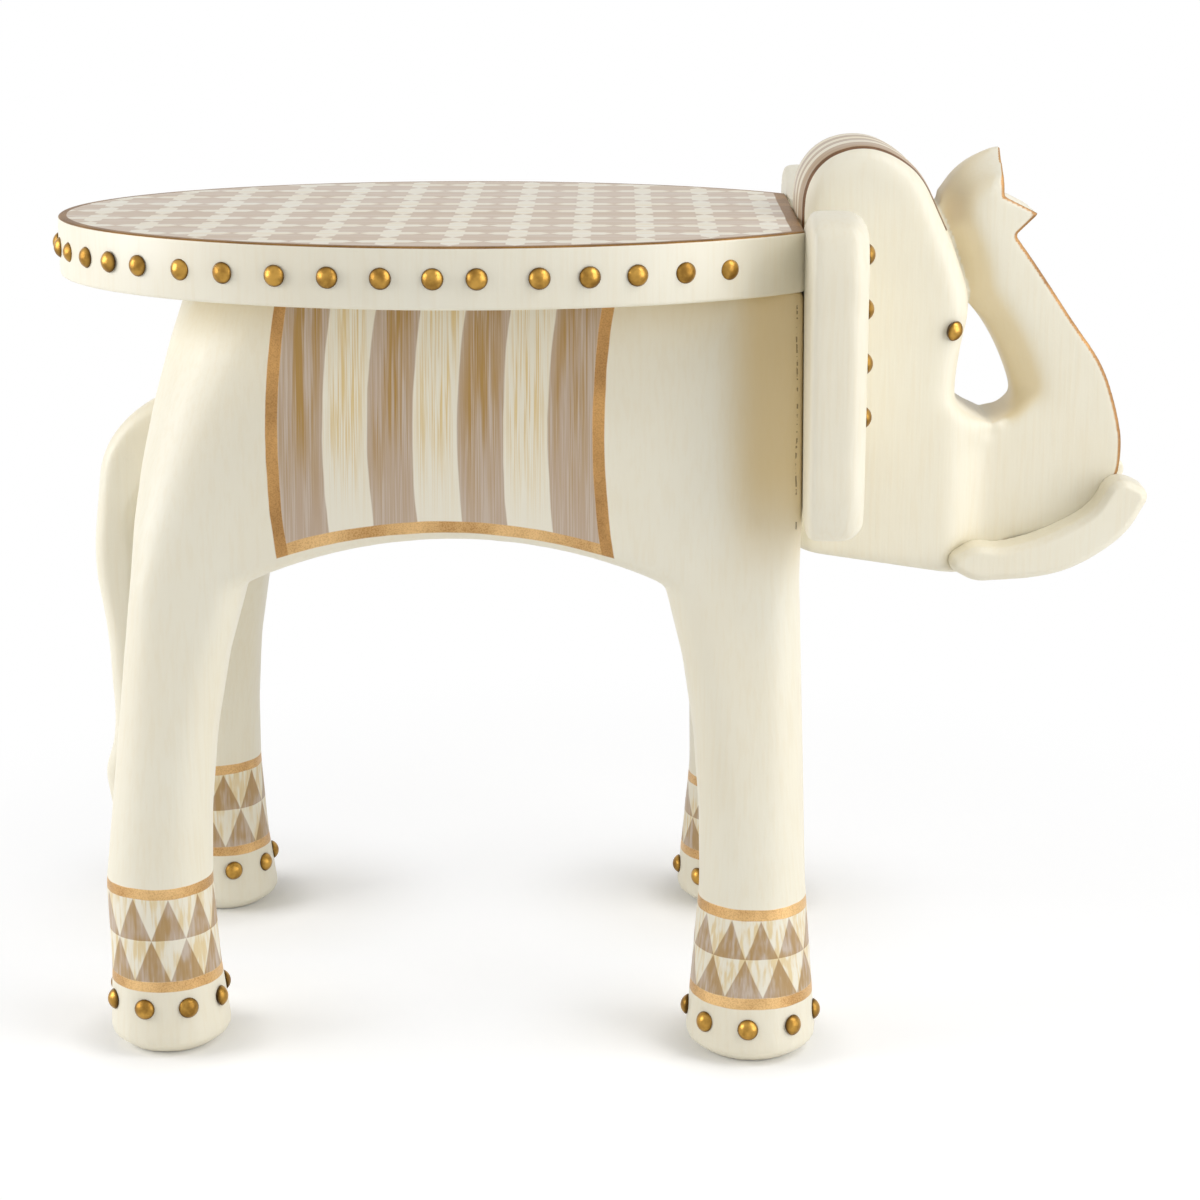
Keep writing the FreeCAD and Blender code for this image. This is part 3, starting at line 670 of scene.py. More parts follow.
@dataclass(frozen=True)
class CrestBand:
    """Stripes that run over the top of the head between two thin gold lines."""

    half: float = 35.5
    narrowing: float = 3.5
    narrow_start: float = 145.0
    narrow_end: float = 190.0
    line: float = 1.1
    line_edge: float = 0.2
    stripes: int = 7
    stripe_edge: float = 0.1
    table: float = 457.0
    forehead: float = 192.3
    forehead_slope: float = 0.41
    lowest: float = 450.0
    end_edge: float = 0.3
    paint: StripePaint = StripePaint()
    gold: GoldPaint = GoldPaint(colour=srgb(128, 88, 50), dark_colour=srgb(88, 58, 30))
    stroke: Size = (40.0, 1.1, 40.0)
    wash: float = 0.5
    waver: Cloud = Cloud((22.0, 22.0, 22.0), shift=61.0, share=1.2)

    def over(self, coat: Coat, place: Place) -> Coat:
        """Paint the band over a coat.

        Args:
            coat: What it lies on.
            place: Where the point is.

        Returns:
            The coat with the band.
        """
        across = place.y + place.waver(self.waver)
        half = self.half - self.narrowing * place.x.ramp(self.narrow_start, self.narrow_end)
        count = (across + half) * self.stripes / (2 * half)
        band = self.paint.coat(place, count.stripes(self.stripe_edge), self.stroke, self.wash)
        edge = abs(across) - half
        hem = (place.z - self.lowest).below(2 * self.line, self.line_edge)
        lines = edge.above(-self.line, self.line_edge).most(hem)
        band = band.under(lines, self.gold.coat(place))
        front = self.forehead + self.forehead_slope * (self.table - place.z)
        on_head = place.x.below(front, self.end_edge) * place.z.above(self.lowest, self.end_edge)
        return coat.under(edge.below(self.line, self.line_edge) * on_head, band)


@dataclass(frozen=True)
class TrunkTip:
    """Upper point of the trunk, which narrows from the notch of the fork up."""

    node: str = "trunk"
    notch: float = 468.0
    narrowing: float = 0.85
    forward: float = 3.3
    fall: float = 2.4

    def share(self, height: Union[np.ndarray, Signal], top: float) -> Union[np.ndarray, Signal]:
        """How far a height is up from the notch to the point, as a share."""
        return (height - self.notch) / (top - self.notch)

    def narrowed(self, share: Union[np.ndarray, Signal]) -> Union[np.ndarray, Signal]:
        """What is left of the trunk's width at a share."""
        return 1 - self.narrowing * share * share

    def carve(self, points: np.ndarray) -> None:
        """Narrow the point of a skin.

        Args:
            points: The skin's points in metres, which are moved.
        """
        low, high = (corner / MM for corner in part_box(self.node))
        up = self.share(points[:, 2] / MM, high.z)
        share = np.where(points[:, 0] / MM > low.x, up.clip(0, 1), 0)
        points[:, 1] *= self.narrowed(share)
        points[:, 0] += self.forward * share * MM
        points[:, 2] -= self.fall * share * MM


@dataclass(frozen=True)
class MouthDip:
    """Ledge between the head and the trunk, which is drawn down and forward into a deeper corner."""

    middle: tuple[float, float] = (222.0, 346.0)
    reach: tuple[float, float] = (26.0, 24.0)
    fall: float = 7.0
    forward: float = 3.5

    def carve(self, points: np.ndarray) -> None:
        """Deepen the mouth of a skin.

        Args:
            points: The skin's points in metres, which are moved.
        """
        along = (points[:, 0] / MM - self.middle[0]) / self.reach[0]
        upward = (points[:, 2] / MM - self.middle[1]) / self.reach[1]
        share = (1 - along**2).clip(0, 1) ** 2 * (1 - upward**2).clip(0, 1) ** 2
        points[:, 0] += self.forward * share * MM
        points[:, 2] -= self.fall * share * MM


@dataclass(frozen=True)
class FootRound:
    """Lower rim of the feet, which draws in towards the sole."""

    height: float = 14.0
    inset: float = 3.5
    rim: float = 30.0
    reach: float = 60.0

    def carve(self, points: np.ndarray) -> None:
        """Draw in the feet of a skin.

        Args:
            points: The skin's points in metres, which are moved.
        """
        low = (1 - points[:, 2] / MM / self.height).clip(0, 1) ** 2
        for leg in LEGS:
            away = points[:, :2] / MM - np.array(foot_middle(leg).xy) / MM
            out = np.linalg.norm(away, axis=1)
            shift = self.inset * low * (out < self.reach) / out.clip(self.rim)
            points[:, :2] -= away * shift[:, None] * MM


@dataclass(frozen=True)
class TrunkPaint:
    """Painted warm shade on the inner side of the trunk, which faces back towards the head, and a thin
    gold line along the edges of its front.
    """

    half: float
    start: float
    top: float
    tip: TrunkTip = TrunkTip()
    shade_glaze: Colour = srgb(236, 214, 164)
    shade_glaze_overlap: float = 26.0
    shade_glaze_fade: float = 3.0
    shade_glaze_facing: Edge = (-0.25, 0.25)
    shade_glaze_side_fade: float = 2.0
    shade_glaze_share: float = 0.55
    gold: GoldPaint = GoldPaint(colour=srgb(190, 142, 82), dark_colour=srgb(120, 82, 40))
    width: float = 1.6
    line_edge: float = 0.25
    line_start: float = 12.0
    start_fade: float = 1.0
    front_facing: Edge = (0.2, 0.1)
    tip_facing: float = 0.1
    turned_facing: Edge = (0.3, 0.15)
    turned_share: Edge = (0.25, 0.1)
    fork: Edge = (430.0, 2.0)
    waver: Cloud = Cloud((14.0, 14.0, 14.0), shift=71.0, share=0.8)

    def over(self, coat: Coat, place: Place) -> Coat:
        """Paint the trunk over a coat.

        Args:
            coat: What lies below.
            place: Where the point is.

        Returns:
            The coat with glaze and lines.
        """
        ahead, aside, _ = place.bench.facing()
        # Painted shade: a warm glaze on the trunk's surfaces that face back towards the head.
        across = abs(place.y)
        on_trunk = place.x.above(self.start - self.shade_glaze_overlap, self.shade_glaze_fade)
        between_sides = across.below(self.half, self.shade_glaze_side_fade)
        inner = ahead.below(*self.shade_glaze_facing) * on_trunk * between_sides * self.shade_glaze_share
        coat = coat.under(inner, shade_glaze_coat(self.shade_glaze))
        up = self.tip.share(place.z, self.top - self.tip.fall).most(0.0).least(1.0)
        half = self.half * self.tip.narrowed(up)
        turned = abs(aside).above(*self.turned_facing) * up.above(*self.turned_share)
        strayed = across + place.waver(self.waver)
        line = strayed.above(half - self.width, self.line_edge).most(turned)
        fork = place.z.above(*self.fork) * place.x.above(self.start, self.start_fade)
        along = place.x.above(self.start + self.line_start, self.start_fade).most(fork)
        level, softness = self.front_facing
        front = ahead.above(level - self.tip_facing * up, softness) * along
        return coat.under(line * front, self.gold.coat(place))


@dataclass(frozen=True)
class StarTiles:
    """Taupe eight-pointed stars on cream over the whole top, inside a gold edge line."""

    middle_x: float
    half_length: float
    half_width: float
    front: float
    upper: float
    pitch: float = 34.0
    star: Edge = (0.3536, 0.012)
    edge_line: float = 5.0
    front_line: float = 7.5
    line_edge: float = 0.25
    least_slope: float = 1e-4
    depth: float = 0.9
    depth_edge: float = 0.15
    paint: StripePaint = StripePaint(taupe=srgb(196, 172, 147))
    gold: GoldPaint = GoldPaint(srgb(150, 112, 62), srgb(104, 72, 34), metallic=1.0, gloss=0.0)
    stroke: Size = (40.0, 1.6, 40.0)
    wash: float = 0.45
    waver: Cloud = Cloud((26.0, 26.0, 26.0), shift=81.0, share=1.6)
    line_stray: float = 0.5

    def over(self, coat: Coat, place: Place) -> Coat:
        """Paint the stars over a coat.

        Args:
            coat: What they lie on.
            place: Where the point is.

        Returns:
            The coat with stars and edge line.
        """
        stray = place.waver(self.waver)
        along = abs(((place.x - self.middle_x + stray) / self.pitch).part() - 0.5)
        aside = abs(((place.y + stray) / self.pitch).part() - 0.5)
        diamond = (along + aside) * math.sqrt(0.5)
        taupe = along.most(aside).least(diamond).below(*self.star)
        tiles = self.paint.coat(place, taupe, self.stroke, self.wash)
        share_x = (place.x - self.middle_x) / self.half_length
        share_y = place.y / self.half_width
        radius = distance(share_x, share_y)
        slope = distance(share_x / self.half_length, share_y / self.half_width).most(self.least_slope)
        from_edge = (1 - radius) * radius / slope
        from_front = (self.front - place.x) * (self.edge_line / self.front_line)
        inside = from_edge.least(from_front) + stray * self.line_stray
        tiles = tiles.under(inside.below(self.edge_line, self.line_edge), self.gold.coat(place))
        return coat.under(place.z.above(self.upper - self.depth, self.depth_edge), tiles)


@dataclass(frozen=True)
class AgedBrass:
    """Brass of the domed nails, with painted shade where the heads meet the wood, and browner in places.
    """

    colour: Colour = srgb(196, 152, 74)
    dark_colour: Colour = srgb(120, 86, 36)
    rim_shade_colour: Colour = srgb(70, 48, 20)
    rim_shade_edge: Edge = (0.28, 0.26)
    rim_shade_share: float = 0.85
    roughness: float = 0.28
    tarnish: Cloud = Cloud((7.0, 7.0, 7.0), 3.0)
    tarnish_share: float = 0.8
    tarnish_roughness: float = 0.12
    dent: Cloud = Cloud((1.8, 1.8, 1.8), shift=9.0)
    dent_roughness: float = 0.06
    dent_relief: float = 0.12
    height_name: str = "height"

    def material(self) -> bpy.types.Material:
        """Make the finish.

        Returns:
            The material of all nails.
        """
        material, bench = new_bench("aged_brass")
        place = bench.place()
        height = bench.node("ShaderNodeAttribute", {"attribute_name": self.height_name}, {}, "Fac")
        tarnish = place.noise(self.tarnish).above(*self.tarnish.edge)
        dents = place.noise(self.dent)
        worn = bench.mix(tarnish * self.tarnish_share, self.colour, self.dark_colour)
        # Painted shade: the low rim of each head, where it meets the wood, is darkened.
        coat = Coat(
            bench.mix(height.below(*self.rim_shade_edge) * self.rim_shade_share, worn, self.rim_shade_colour),
            1.0,
            self.roughness + tarnish * self.tarnish_roughness + dents * self.dent_roughness,
            dents * self.dent_relief,
        )
        bench.varnish(coat, 0.0)
        return material


@dataclass(frozen=True)
class BareWood:
    """Unpainted wood of the hidden tenons."""

    colour: Colour = srgb(196, 158, 112)
    grain_colour: Colour = srgb(150, 112, 70)
    roughness: float = 0.65
    grain: Cloud = Cloud((30.0, 2.0, 2.0), 4.0)
    grain_roughness: float = 0.1
    grain_relief: float = 0.1

    def material(self) -> bpy.types.Material:
        """Make the finish.

        Returns:
            The material of all tenons.
        """
        material, bench = new_bench("bare_wood")
        grain = bench.place().noise(self.grain)
        colour = bench.mix(grain.above(*self.grain.edge), self.colour, self.grain_colour)
        roughness = self.roughness + grain * self.grain_roughness
        bench.varnish(Coat(colour, 0.0, roughness, grain * self.grain_relief), 0.0)
        return material


def painted(name: str, *layers: object, gloss: float = 0.18) -> bpy.types.Material:
    """Make an ivory finish with painted layers.

    Args:
        name: The material's name.
        layers: Paints with an over method, from the lowest up.
        gloss: Weight of the clear coat.

    Returns:
        The material.
    """
    material, bench = new_bench(name)
    place = bench.place()
    coat = IvoryPaint().coat(place)
    for layer in layers:
        coat = layer.over(coat, place)
    bench.varnish(coat, gloss)
    return material


def new_object(name: str, data: bpy.types.ID) -> bpy.types.Object:
    """Put an object with the given data into the scene.

    Args:
        name: The object's name.
        data: Its mesh, camera or lamp.

    Returns:
        The object.
    """
    made = bpy.data.objects.new(name, data)
    bpy.context.scene.collection.objects.link(made)
    return made


def add_piece(
    name: str, mesh: bpy.types.Mesh, material: bpy.types.Material, slot: Slot, nodes: Sequence[str]
) -> None:
    """Put a mesh into the scene in place of some solids.

    Args:
        name: The piece's name.
        mesh: Its mesh, in the table's frame.
        material: Its finish.
        slot: Not used.
        nodes: The solids that it stands for.
    """
    mesh.name = name
    mesh.materials.clear()
    mesh.materials.append(material)
    mesh.shade_smooth()
    piece = new_object(name, mesh)
    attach(piece, BODY)
    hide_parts(*nodes)
    log.info("%s: %d faces for %s", name, len(mesh.polygons), ", ".join(nodes))


def mesh_points(mesh: bpy.types.Mesh) -> np.ndarray:
    """Places of a mesh's vertices, one row each."""
    points = np.empty(len(mesh.vertices) * 3)
    mesh.vertices.foreach_get("co", points)
    return points.reshape(-1, 3)


def mesh_edges(mesh: bpy.types.Mesh) -> np.ndarray:
    """Vertex numbers of a mesh's edges, one row each."""
    edges = np.empty(len(mesh.edges) * 2, dtype=np.int64)
    mesh.edges.foreach_get("vertices", edges)
    return edges.reshape(-1, 2)


def foot_middle(leg: str) -> Vector:
    """Middle of the sole of a leg's solid, on the floor."""
    points = mesh_points(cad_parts[leg].data)
    return Vector(points[points[:, 2] < MM].mean(axis=0))


def shape_mesh(shape: bmesh.types.BMesh, name: str) -> bpy.types.Mesh:
    """Turn a shape into a mesh, and let go of the shape.

    Args:
        shape: The shape.
        name: The mesh's name.

    Returns:
        The mesh.
    """
    mesh = bpy.data.meshes.new(name)
    shape.to_mesh(mesh)
    shape.free()
    return mesh


def join_rings(shape: bmesh.types.BMesh, rings: Sequence[list[bmesh.types.BMVert]]) -> None:
    """Skin a row of rings and close the first one.

    Args:
        shape: The shape that the rings are in.
        rings: The rings from the lowest up, all with as many points.
    """
    for lower, upper in zip(rings, rings[1:]):
        for index in range(len(lower)):
            shape.faces.new((lower[index - 1], lower[index], upper[index], upper[index - 1]))
    shape.faces.new(rings[0][::-1])


def solid_mesh(nodes: Sequence[str]) -> bpy.types.Mesh:
    """Copy solids into one mesh of closed skins.

    Args:
        nodes: Names of the solids.

    Returns:
        The mesh, in the table's frame.
    """
    shape = bmesh.new()
    for node in nodes:
        shape.from_mesh(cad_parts[node].data)
    bmesh.ops.remove_doubles(shape, verts=shape.verts, dist=WELD)
    return shape_mesh(shape, "solid")


def islands(count: int, edges: np.ndarray) -> np.ndarray:
    """Number the connected parts of a mesh.

    Args:
        count: How many vertices it has.
        edges: Its edges.

    Returns:
        For each vertex the smallest vertex number of its part.
    """
    labels = np.arange(count)
    while True:
        lower = np.minimum(labels[edges[:, 0]], labels[edges[:, 1]])
        spread = labels.copy()
        np.minimum.at(spread, edges[:, 0], lower)
        np.minimum.at(spread, edges[:, 1], lower)
        spread = spread[spread]
        if np.array_equal(spread, labels):
            return labels
        labels = spread


def solid_tree(node: str) -> BVHTree:
    """Search tree of a solid's faces."""
    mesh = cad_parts[node].data
    points = [vertex.co.copy() for vertex in mesh.vertices]
    return BVHTree.FromPolygons(points, [tuple(face.vertices) for face in mesh.polygons])


@dataclass
class CarvedPiece:
    """Piece carved from wood: sawn solids joined and sanded, each to its own softness in millimetres.

    It can stay keen near the front of some solids, at the joint of all of them above a height, and
    beyond a corner.
    """

    name: str
    softness: dict[str, float]
    grain: float
    keen_fronts: tuple[str, ...] = ()
    cuts: tuple[Union[TrunkTip, MouthDip, FootRound], ...] = ()
    keen_joint: Optional[float] = None
    keen_beyond: Optional[tuple[float, float]] = None
    keen: float = 0.8
    keen_reach: float = 8.0
    joint_reach: float = 7.0
    front_facing: float = 0.35
    sole: float = 16.0
    sole_keenness: float = 0.6
    sanding: float = 0.5
    blending: int = 10

    def rough_mesh(self) -> bpy.types.Mesh:
        """Join the solids into one even skin.

        Returns:
            The outer skin, with faces about as large as the grain.
        """
        block = new_object(self.name, solid_mesh(tuple(self.softness)))
        modifier = block.modifiers.new("skin", "REMESH")
        modifier.mode = "VOXEL"
        modifier.voxel_size = self.grain * MM
        seen = block.evaluated_get(bpy.context.evaluated_depsgraph_get())
        skin = bpy.data.meshes.new_from_object(seen)
        bpy.data.objects.remove(block)
        return skin

    def keep_outside(self, mesh: bpy.types.Mesh) -> None:
        """Remove the small hollows inside, which are parts of their own.

        Args:
            mesh: The skin.
        """
        labels = islands(len(mesh.vertices), mesh_edges(mesh))
        outside = np.bincount(labels).argmax()
        shape = bmesh.new()
        shape.from_mesh(mesh)
        inner = [vertex for vertex, label in zip(shape.verts, labels) if label != outside]
        bmesh.ops.delete(shape, geom=inner, context="VERTS")
        shape.to_mesh(mesh)
        shape.free()

    def softness_at(self, points: np.ndarray, edges: np.ndarray) -> np.ndarray:
        """Softness at each point, that of the solid nearest to it, or keen.

        Args:
            points: The points.
            edges: Pairs of neighbours among them.

        Returns:
            One length in millimetres for each point.
        """
        nearest = np.full(len(points), np.inf)
        farthest = np.zeros(len(points))
        softness = np.empty(len(points))
        for node, amount in self.softness.items():
            tree = solid_tree(node)
            for index, point in enumerate(points):
                _, normal, _, away = tree.find_nearest(point)
                farthest[index] = max(farthest[index], away)
                if away < nearest[index]:
                    nearest[index] = away
                    front = node in self.keen_fronts and normal.x > self.front_facing
                    softness[index] = self.keen if front else amount
        for _ in range(round(self.keen_reach / self.grain) if self.keen_fronts else 0):
            keen = np.minimum(softness[edges[:, 0]], softness[edges[:, 1]]) == self.keen
            softness[edges[keen].ravel()] = self.keen
        if self.keen_joint is not None:
            at_joint = farthest < self.joint_reach * MM
            softness[at_joint & (points[:, 2] > self.keen_joint * MM)] = self.keen
        if self.keen_beyond is not None:
            ahead, above = self.keen_beyond
            softness[(points[:, 0] > ahead * MM) & (points[:, 2] > above * MM)] = self.keen
        return softness

    def sand(self, mesh: bpy.types.Mesh) -> None:
        """Round off the edges by moving each point towards the middle of its neighbours.

        Args:
            mesh: The skin.
        """
        points = mesh_points(mesh)
        edges = mesh_edges(mesh)
        ends = np.concatenate((edges[:, 0], edges[:, 1]))
        others = np.concatenate((edges[:, 1], edges[:, 0]))
        neighbours = np.bincount(ends, minlength=len(points))

        def around(values: np.ndarray) -> np.ndarray:
            """Mean of the neighbours' values at each point."""
            return np.bincount(ends, values[others], len(points)) / neighbours

        softness = self.softness_at(points, edges)
        most = softness.max()
        for _ in range(self.blending):
            softness = (softness + around(softness)) / 2
        softness *= 1 - self.sole_keenness * (points[:, 2] < self.sole * MM)
        strength = self.sanding * (softness / most)[:, None] ** 2
        for _ in range(round(2 * (most / self.grain) ** 2 / self.sanding)):
            middles = np.stack([around(points[:, axis]) for axis in range(3)], axis=1)
            points += strength * (middles - points)
        for cut in self.cuts:
            cut.carve(points)
        mesh.vertices.foreach_set("co", points.ravel())
        mesh.update()

    def build(self, material: bpy.types.Material) -> None:
        """Carve the piece and paint it.

        Args:
            material: Its finish.
        """
        mesh = self.rough_mesh()
        self.keep_outside(mesh)
        self.sand(mesh)
        add_piece(self.name, mesh, material, Slot.BODY_PAINT, tuple(self.softness))


@dataclass
class Animal:
    """The carved elephant: torso with legs and head with trunk as whole forms, ears, tusks and tail.

    The boards have a softness and a grain each.
    """

    front_anklet: tuple[float, float] = (88.0, 33.0)
    rear_anklet: tuple[float, float] = (98.6, 39.0)
    torso_softness: float = 5.0
    leg_softness: float = 3.2
    body_grain: float = 2.6
    neck_edge: float = 16.0
    neck_low: float = 296.0
    head_softness: float = 6.0
    trunk_softness: float = 7.0
    head_grain: float = 1.4
    mouth: float = 338.0
    tail: tuple[float, float] = (3.0, 1.5)
    ear: tuple[float, float] = (4.2, 2.0)
    tusk: tuple[float, float] = (0.8, 1.0)

    def body_paint(self) -> bpy.types.Material:
        """Ivory with the blanket, the anklets, and the painted shade and cracks at the neck and under the
        tabletop.

        Returns:
            The material of torso and legs.
        """
        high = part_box("torso")[1] / MM
        front = foot_middle("leg_front_left") / MM
        rear = foot_middle("leg_rear_left") / MM
        return painted(
            "body_paint",
            NeckSeam(high.x, high.z),
            SaddleBlanket(),
            Anklet(front.x, front.y, *self.front_anklet),
            Anklet(rear.x, rear.y, *self.rear_anklet),
        )

    def head_paint(self) -> bpy.types.Material:
        """Ivory with the striped crest and the trunk's painted shade and lines."""
        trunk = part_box("trunk")[1] / MM
        return painted("head_paint", TrunkPaint(trunk.y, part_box("head")[1].x / MM, trunk.z), CrestBand())

    def build(self) -> None:
        """Carve and paint all pieces."""
        plain = painted("ivory_paint")
        body = CarvedPiece(
            "carved_body",
            {"torso": self.torso_softness} | {leg: self.leg_softness for leg in LEGS},
            self.body_grain,
            cuts=(FootRound(),),
            keen_beyond=(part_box("torso")[1].x / MM - self.neck_edge, self.neck_low),
        )
        head = CarvedPiece(
            "carved_head",
            {"head": self.head_softness, "trunk": self.trunk_softness},
            self.head_grain,
            keen_fronts=("trunk",),
            cuts=(TrunkTip(), MouthDip()),
            keen_joint=self.mouth,
        )
        body.build(self.body_paint())
        head.build(self.head_paint())
        boards = {"tail": self.tail}
        for side in ("left", "right"):
            boards |= {f"ear_{side}": self.ear, f"tusk_{side}": self.tusk}
        for node, (softness, grain) in boards.items():
            CarvedPiece(f"carved_{node}", {node: softness}, grain).build(plain)


@dataclass
class Tabletop:
    """Oval board with rounded edges and a straight front edge against the head."""

    node: str = "tabletop"
    rim_points: int = 240
    front_points: int = 32
    edge_round: float = 2.0
    round_steps: int = 4
    gloss: float = 0.5

    def measure(self) -> tuple[Vector, float, float, float]:
        """Work out the oval from its solid.

        Returns:
            The oval's middle on the floor, its half length, its half width, and where the front edge is.
        """
        low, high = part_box(self.node)
        points = mesh_points(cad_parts[self.node].data)
        front_half = points[points[:, 0] > high.x - FLAT, 1].max()
        reach = math.sqrt(1 - (front_half / high.y) ** 2)
        half_length = (high.x - low.x) / (1 + reach)
        return Vector((low.x + half_length, 0, 0)), half_length, high.y, high.x

    def outline(self, inset: float) -> list[Vector]:
        """Outline of the board, drawn in by an inset.

        Args:
            inset: How far it is drawn in.

        Returns:
            Points from the front on the left round the rear, and back along the front edge.
        """
        middle, half_length, half_width, front = self.measure()
        length = half_length - inset
        width = half_width - inset
        turn = math.acos((front - inset - middle.x) / length)
        points = []
        for index in range(self.rim_points):
            angle = turn + (2 * math.pi - 2 * turn) * index / (self.rim_points - 1)
            points.append(middle + Vector((length * math.cos(angle), width * math.sin(angle), 0)))
        last, first = points[-1], points[0]
        points += [last.lerp(first, index / self.front_points) for index in range(1, self.front_points)]
        return points

    def build(self) -> None:
        """Make the board and paint it."""
        low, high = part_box(self.node)
        radius = self.edge_round * MM
        turns = [math.pi / 2 * step / self.round_steps for step in range(self.round_steps + 1)]
        bends = [(radius * (1 - math.sin(turn)), radius * (1 - math.cos(turn))) for turn in turns]
        levels = [(2 * radius, low.z)]
        levels += [(inset, low.z + rise) for inset, rise in bends]
        levels += [(inset, high.z - drop) for drop, inset in bends]
        levels += [(2 * radius, high.z)]
        shape = bmesh.new()
        rings = []
        for inset, height in levels:
            rings.append([shape.verts.new((point.x, point.y, height)) for point in self.outline(inset)])
        join_rings(shape, rings)
        shape.faces.new(rings[-1])
        mesh = shape_mesh(shape, self.node)
        add_piece("painted_top", mesh, self.paint(), Slot.TOP_PAINT, (self.node,))

    def paint(self) -> bpy.types.Material:
        """Ivory with stars and an edge line on the upper side.

        Returns:
            The material of the board.
        """
        middle, half_length, half_width, front = self.measure()
        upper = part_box(self.node)[1].z
        stars = StarTiles(middle.x / MM, half_length / MM, half_width / MM, front / MM, upper / MM)
        return painted("top_paint", stars, gloss=self.gloss)


@dataclass
class NailGroup:
    """Domed nails of one kind, set where their solids are."""

    node: str
    rise: float = 3.9
    shank: float = 12.0
    diameter: float = 11.6
    lip: float = 0.4
    foot_share: float = 0.97
    collar: float = 2.0
    collar_share: float = 0.8
    around: int = 24
    rings: int = 6

    def seats(self) -> list[tuple[Vector, Vector]]:
        """Find where each nail sits.

        Returns:
            For each nail the middle of its head's flat side and the way that it faces.
        """
        mesh = solid_mesh((self.node,))
        points = mesh_points(mesh)
        labels = islands(len(points), mesh_edges(mesh))
        bpy.data.meshes.remove(mesh)
        seats = []
        for label in np.unique(labels):
            nail = points[labels == label]
            apart = np.linalg.norm(nail[:, None] - nail[None, :], axis=2)
            first, second = np.unravel_index(apart.argmax(), apart.shape)
            middle = nail.mean(axis=0)
            ends = sorted((nail[first], nail[second]), key=lambda end: np.linalg.norm(end - middle))
            top, tip = Vector(ends[0]), Vector(ends[1])
            facing = (top - tip).normalized()
            seats.append((tip + facing * self.shank * MM, facing))
        return seats

    def profile(self) -> list[tuple[float, float]]:
        """Half section of a nail's head.

        Returns:
            Radius and height of each ring, from the hidden collar up to the crown.
        """
        radius = self.diameter / 2
        rise = self.rise - self.lip
        sphere = (radius**2 + rise**2) / (2 * rise)
        reach = math.asin(radius / sphere)
        section = [(radius * self.collar_share, -self.collar), (radius * self.foot_share, 0.0)]
        section.append((radius, self.lip / 2))
        for step in range(self.rings):
            angle = reach * (1 - step / self.rings)
            section.append((sphere * math.sin(angle), self.rise - sphere * (1 - math.cos(angle))))
        return section

    def add_nail(self, shape: bmesh.types.BMesh, seat: Vector, facing: Vector) -> None:
        """Add one nail's head to a shape.

        Args:
            shape: The shape.
            seat: Middle of the head's flat side.
            facing: The way that it faces.
        """
        turn = Vector((0, 0, 1)).rotation_difference(facing)
        rings = []
        for radius, height in self.profile():
            ring = []
            for index in range(self.around):
                angle = 2 * math.pi * index / self.around
                point = Vector((radius * math.cos(angle), radius * math.sin(angle), height)) * MM
                ring.append(shape.verts.new(seat + turn @ point))
            rings.append(ring)
        join_rings(shape, rings)
        crown = shape.verts.new(seat + facing * self.rise * MM)
        for index in range(self.around):
            shape.faces.new((rings[-1][index - 1], rings[-1][index], crown))

    def build(self, material: bpy.types.Material) -> None:
        """Make all nails of the group as one piece.

        Args:
            material: Their finish.
        """
        shape = bmesh.new()
        heights = []
        for seat, facing in self.seats():
            self.add_nail(shape, seat, facing)
            for _, height in self.profile():
                heights += [max(0.0, height / self.rise)] * self.around
            heights.append(1.0)
        mesh = shape_mesh(shape, self.node)
        mesh.attributes.new(AgedBrass.height_name, "FLOAT", "POINT").data.foreach_set("value", heights)
        add_piece(f"domed_{self.node}", mesh, material, Slot.NAIL_BRASS, (self.node,))


@dataclass(frozen=True)
class Lamp:
    """Soft lamp with a square face; its lengths are in metres and its power is in watts."""

    name: str
    place: Size
    size: float
    power: float

    def build(self, target: Size) -> None:
        """Hang the lamp.

        Args:
            target: Where it points.
        """
        data = bpy.data.lights.new(self.name, "AREA")
        data.size = self.size
        data.energy = self.power
        lamp = new_object(self.name, data)
        lamp.location = self.place
        aim = Vector(target) - Vector(self.place)
        lamp.rotation_euler = aim.to_track_quat("-Z", "Y").to_euler()


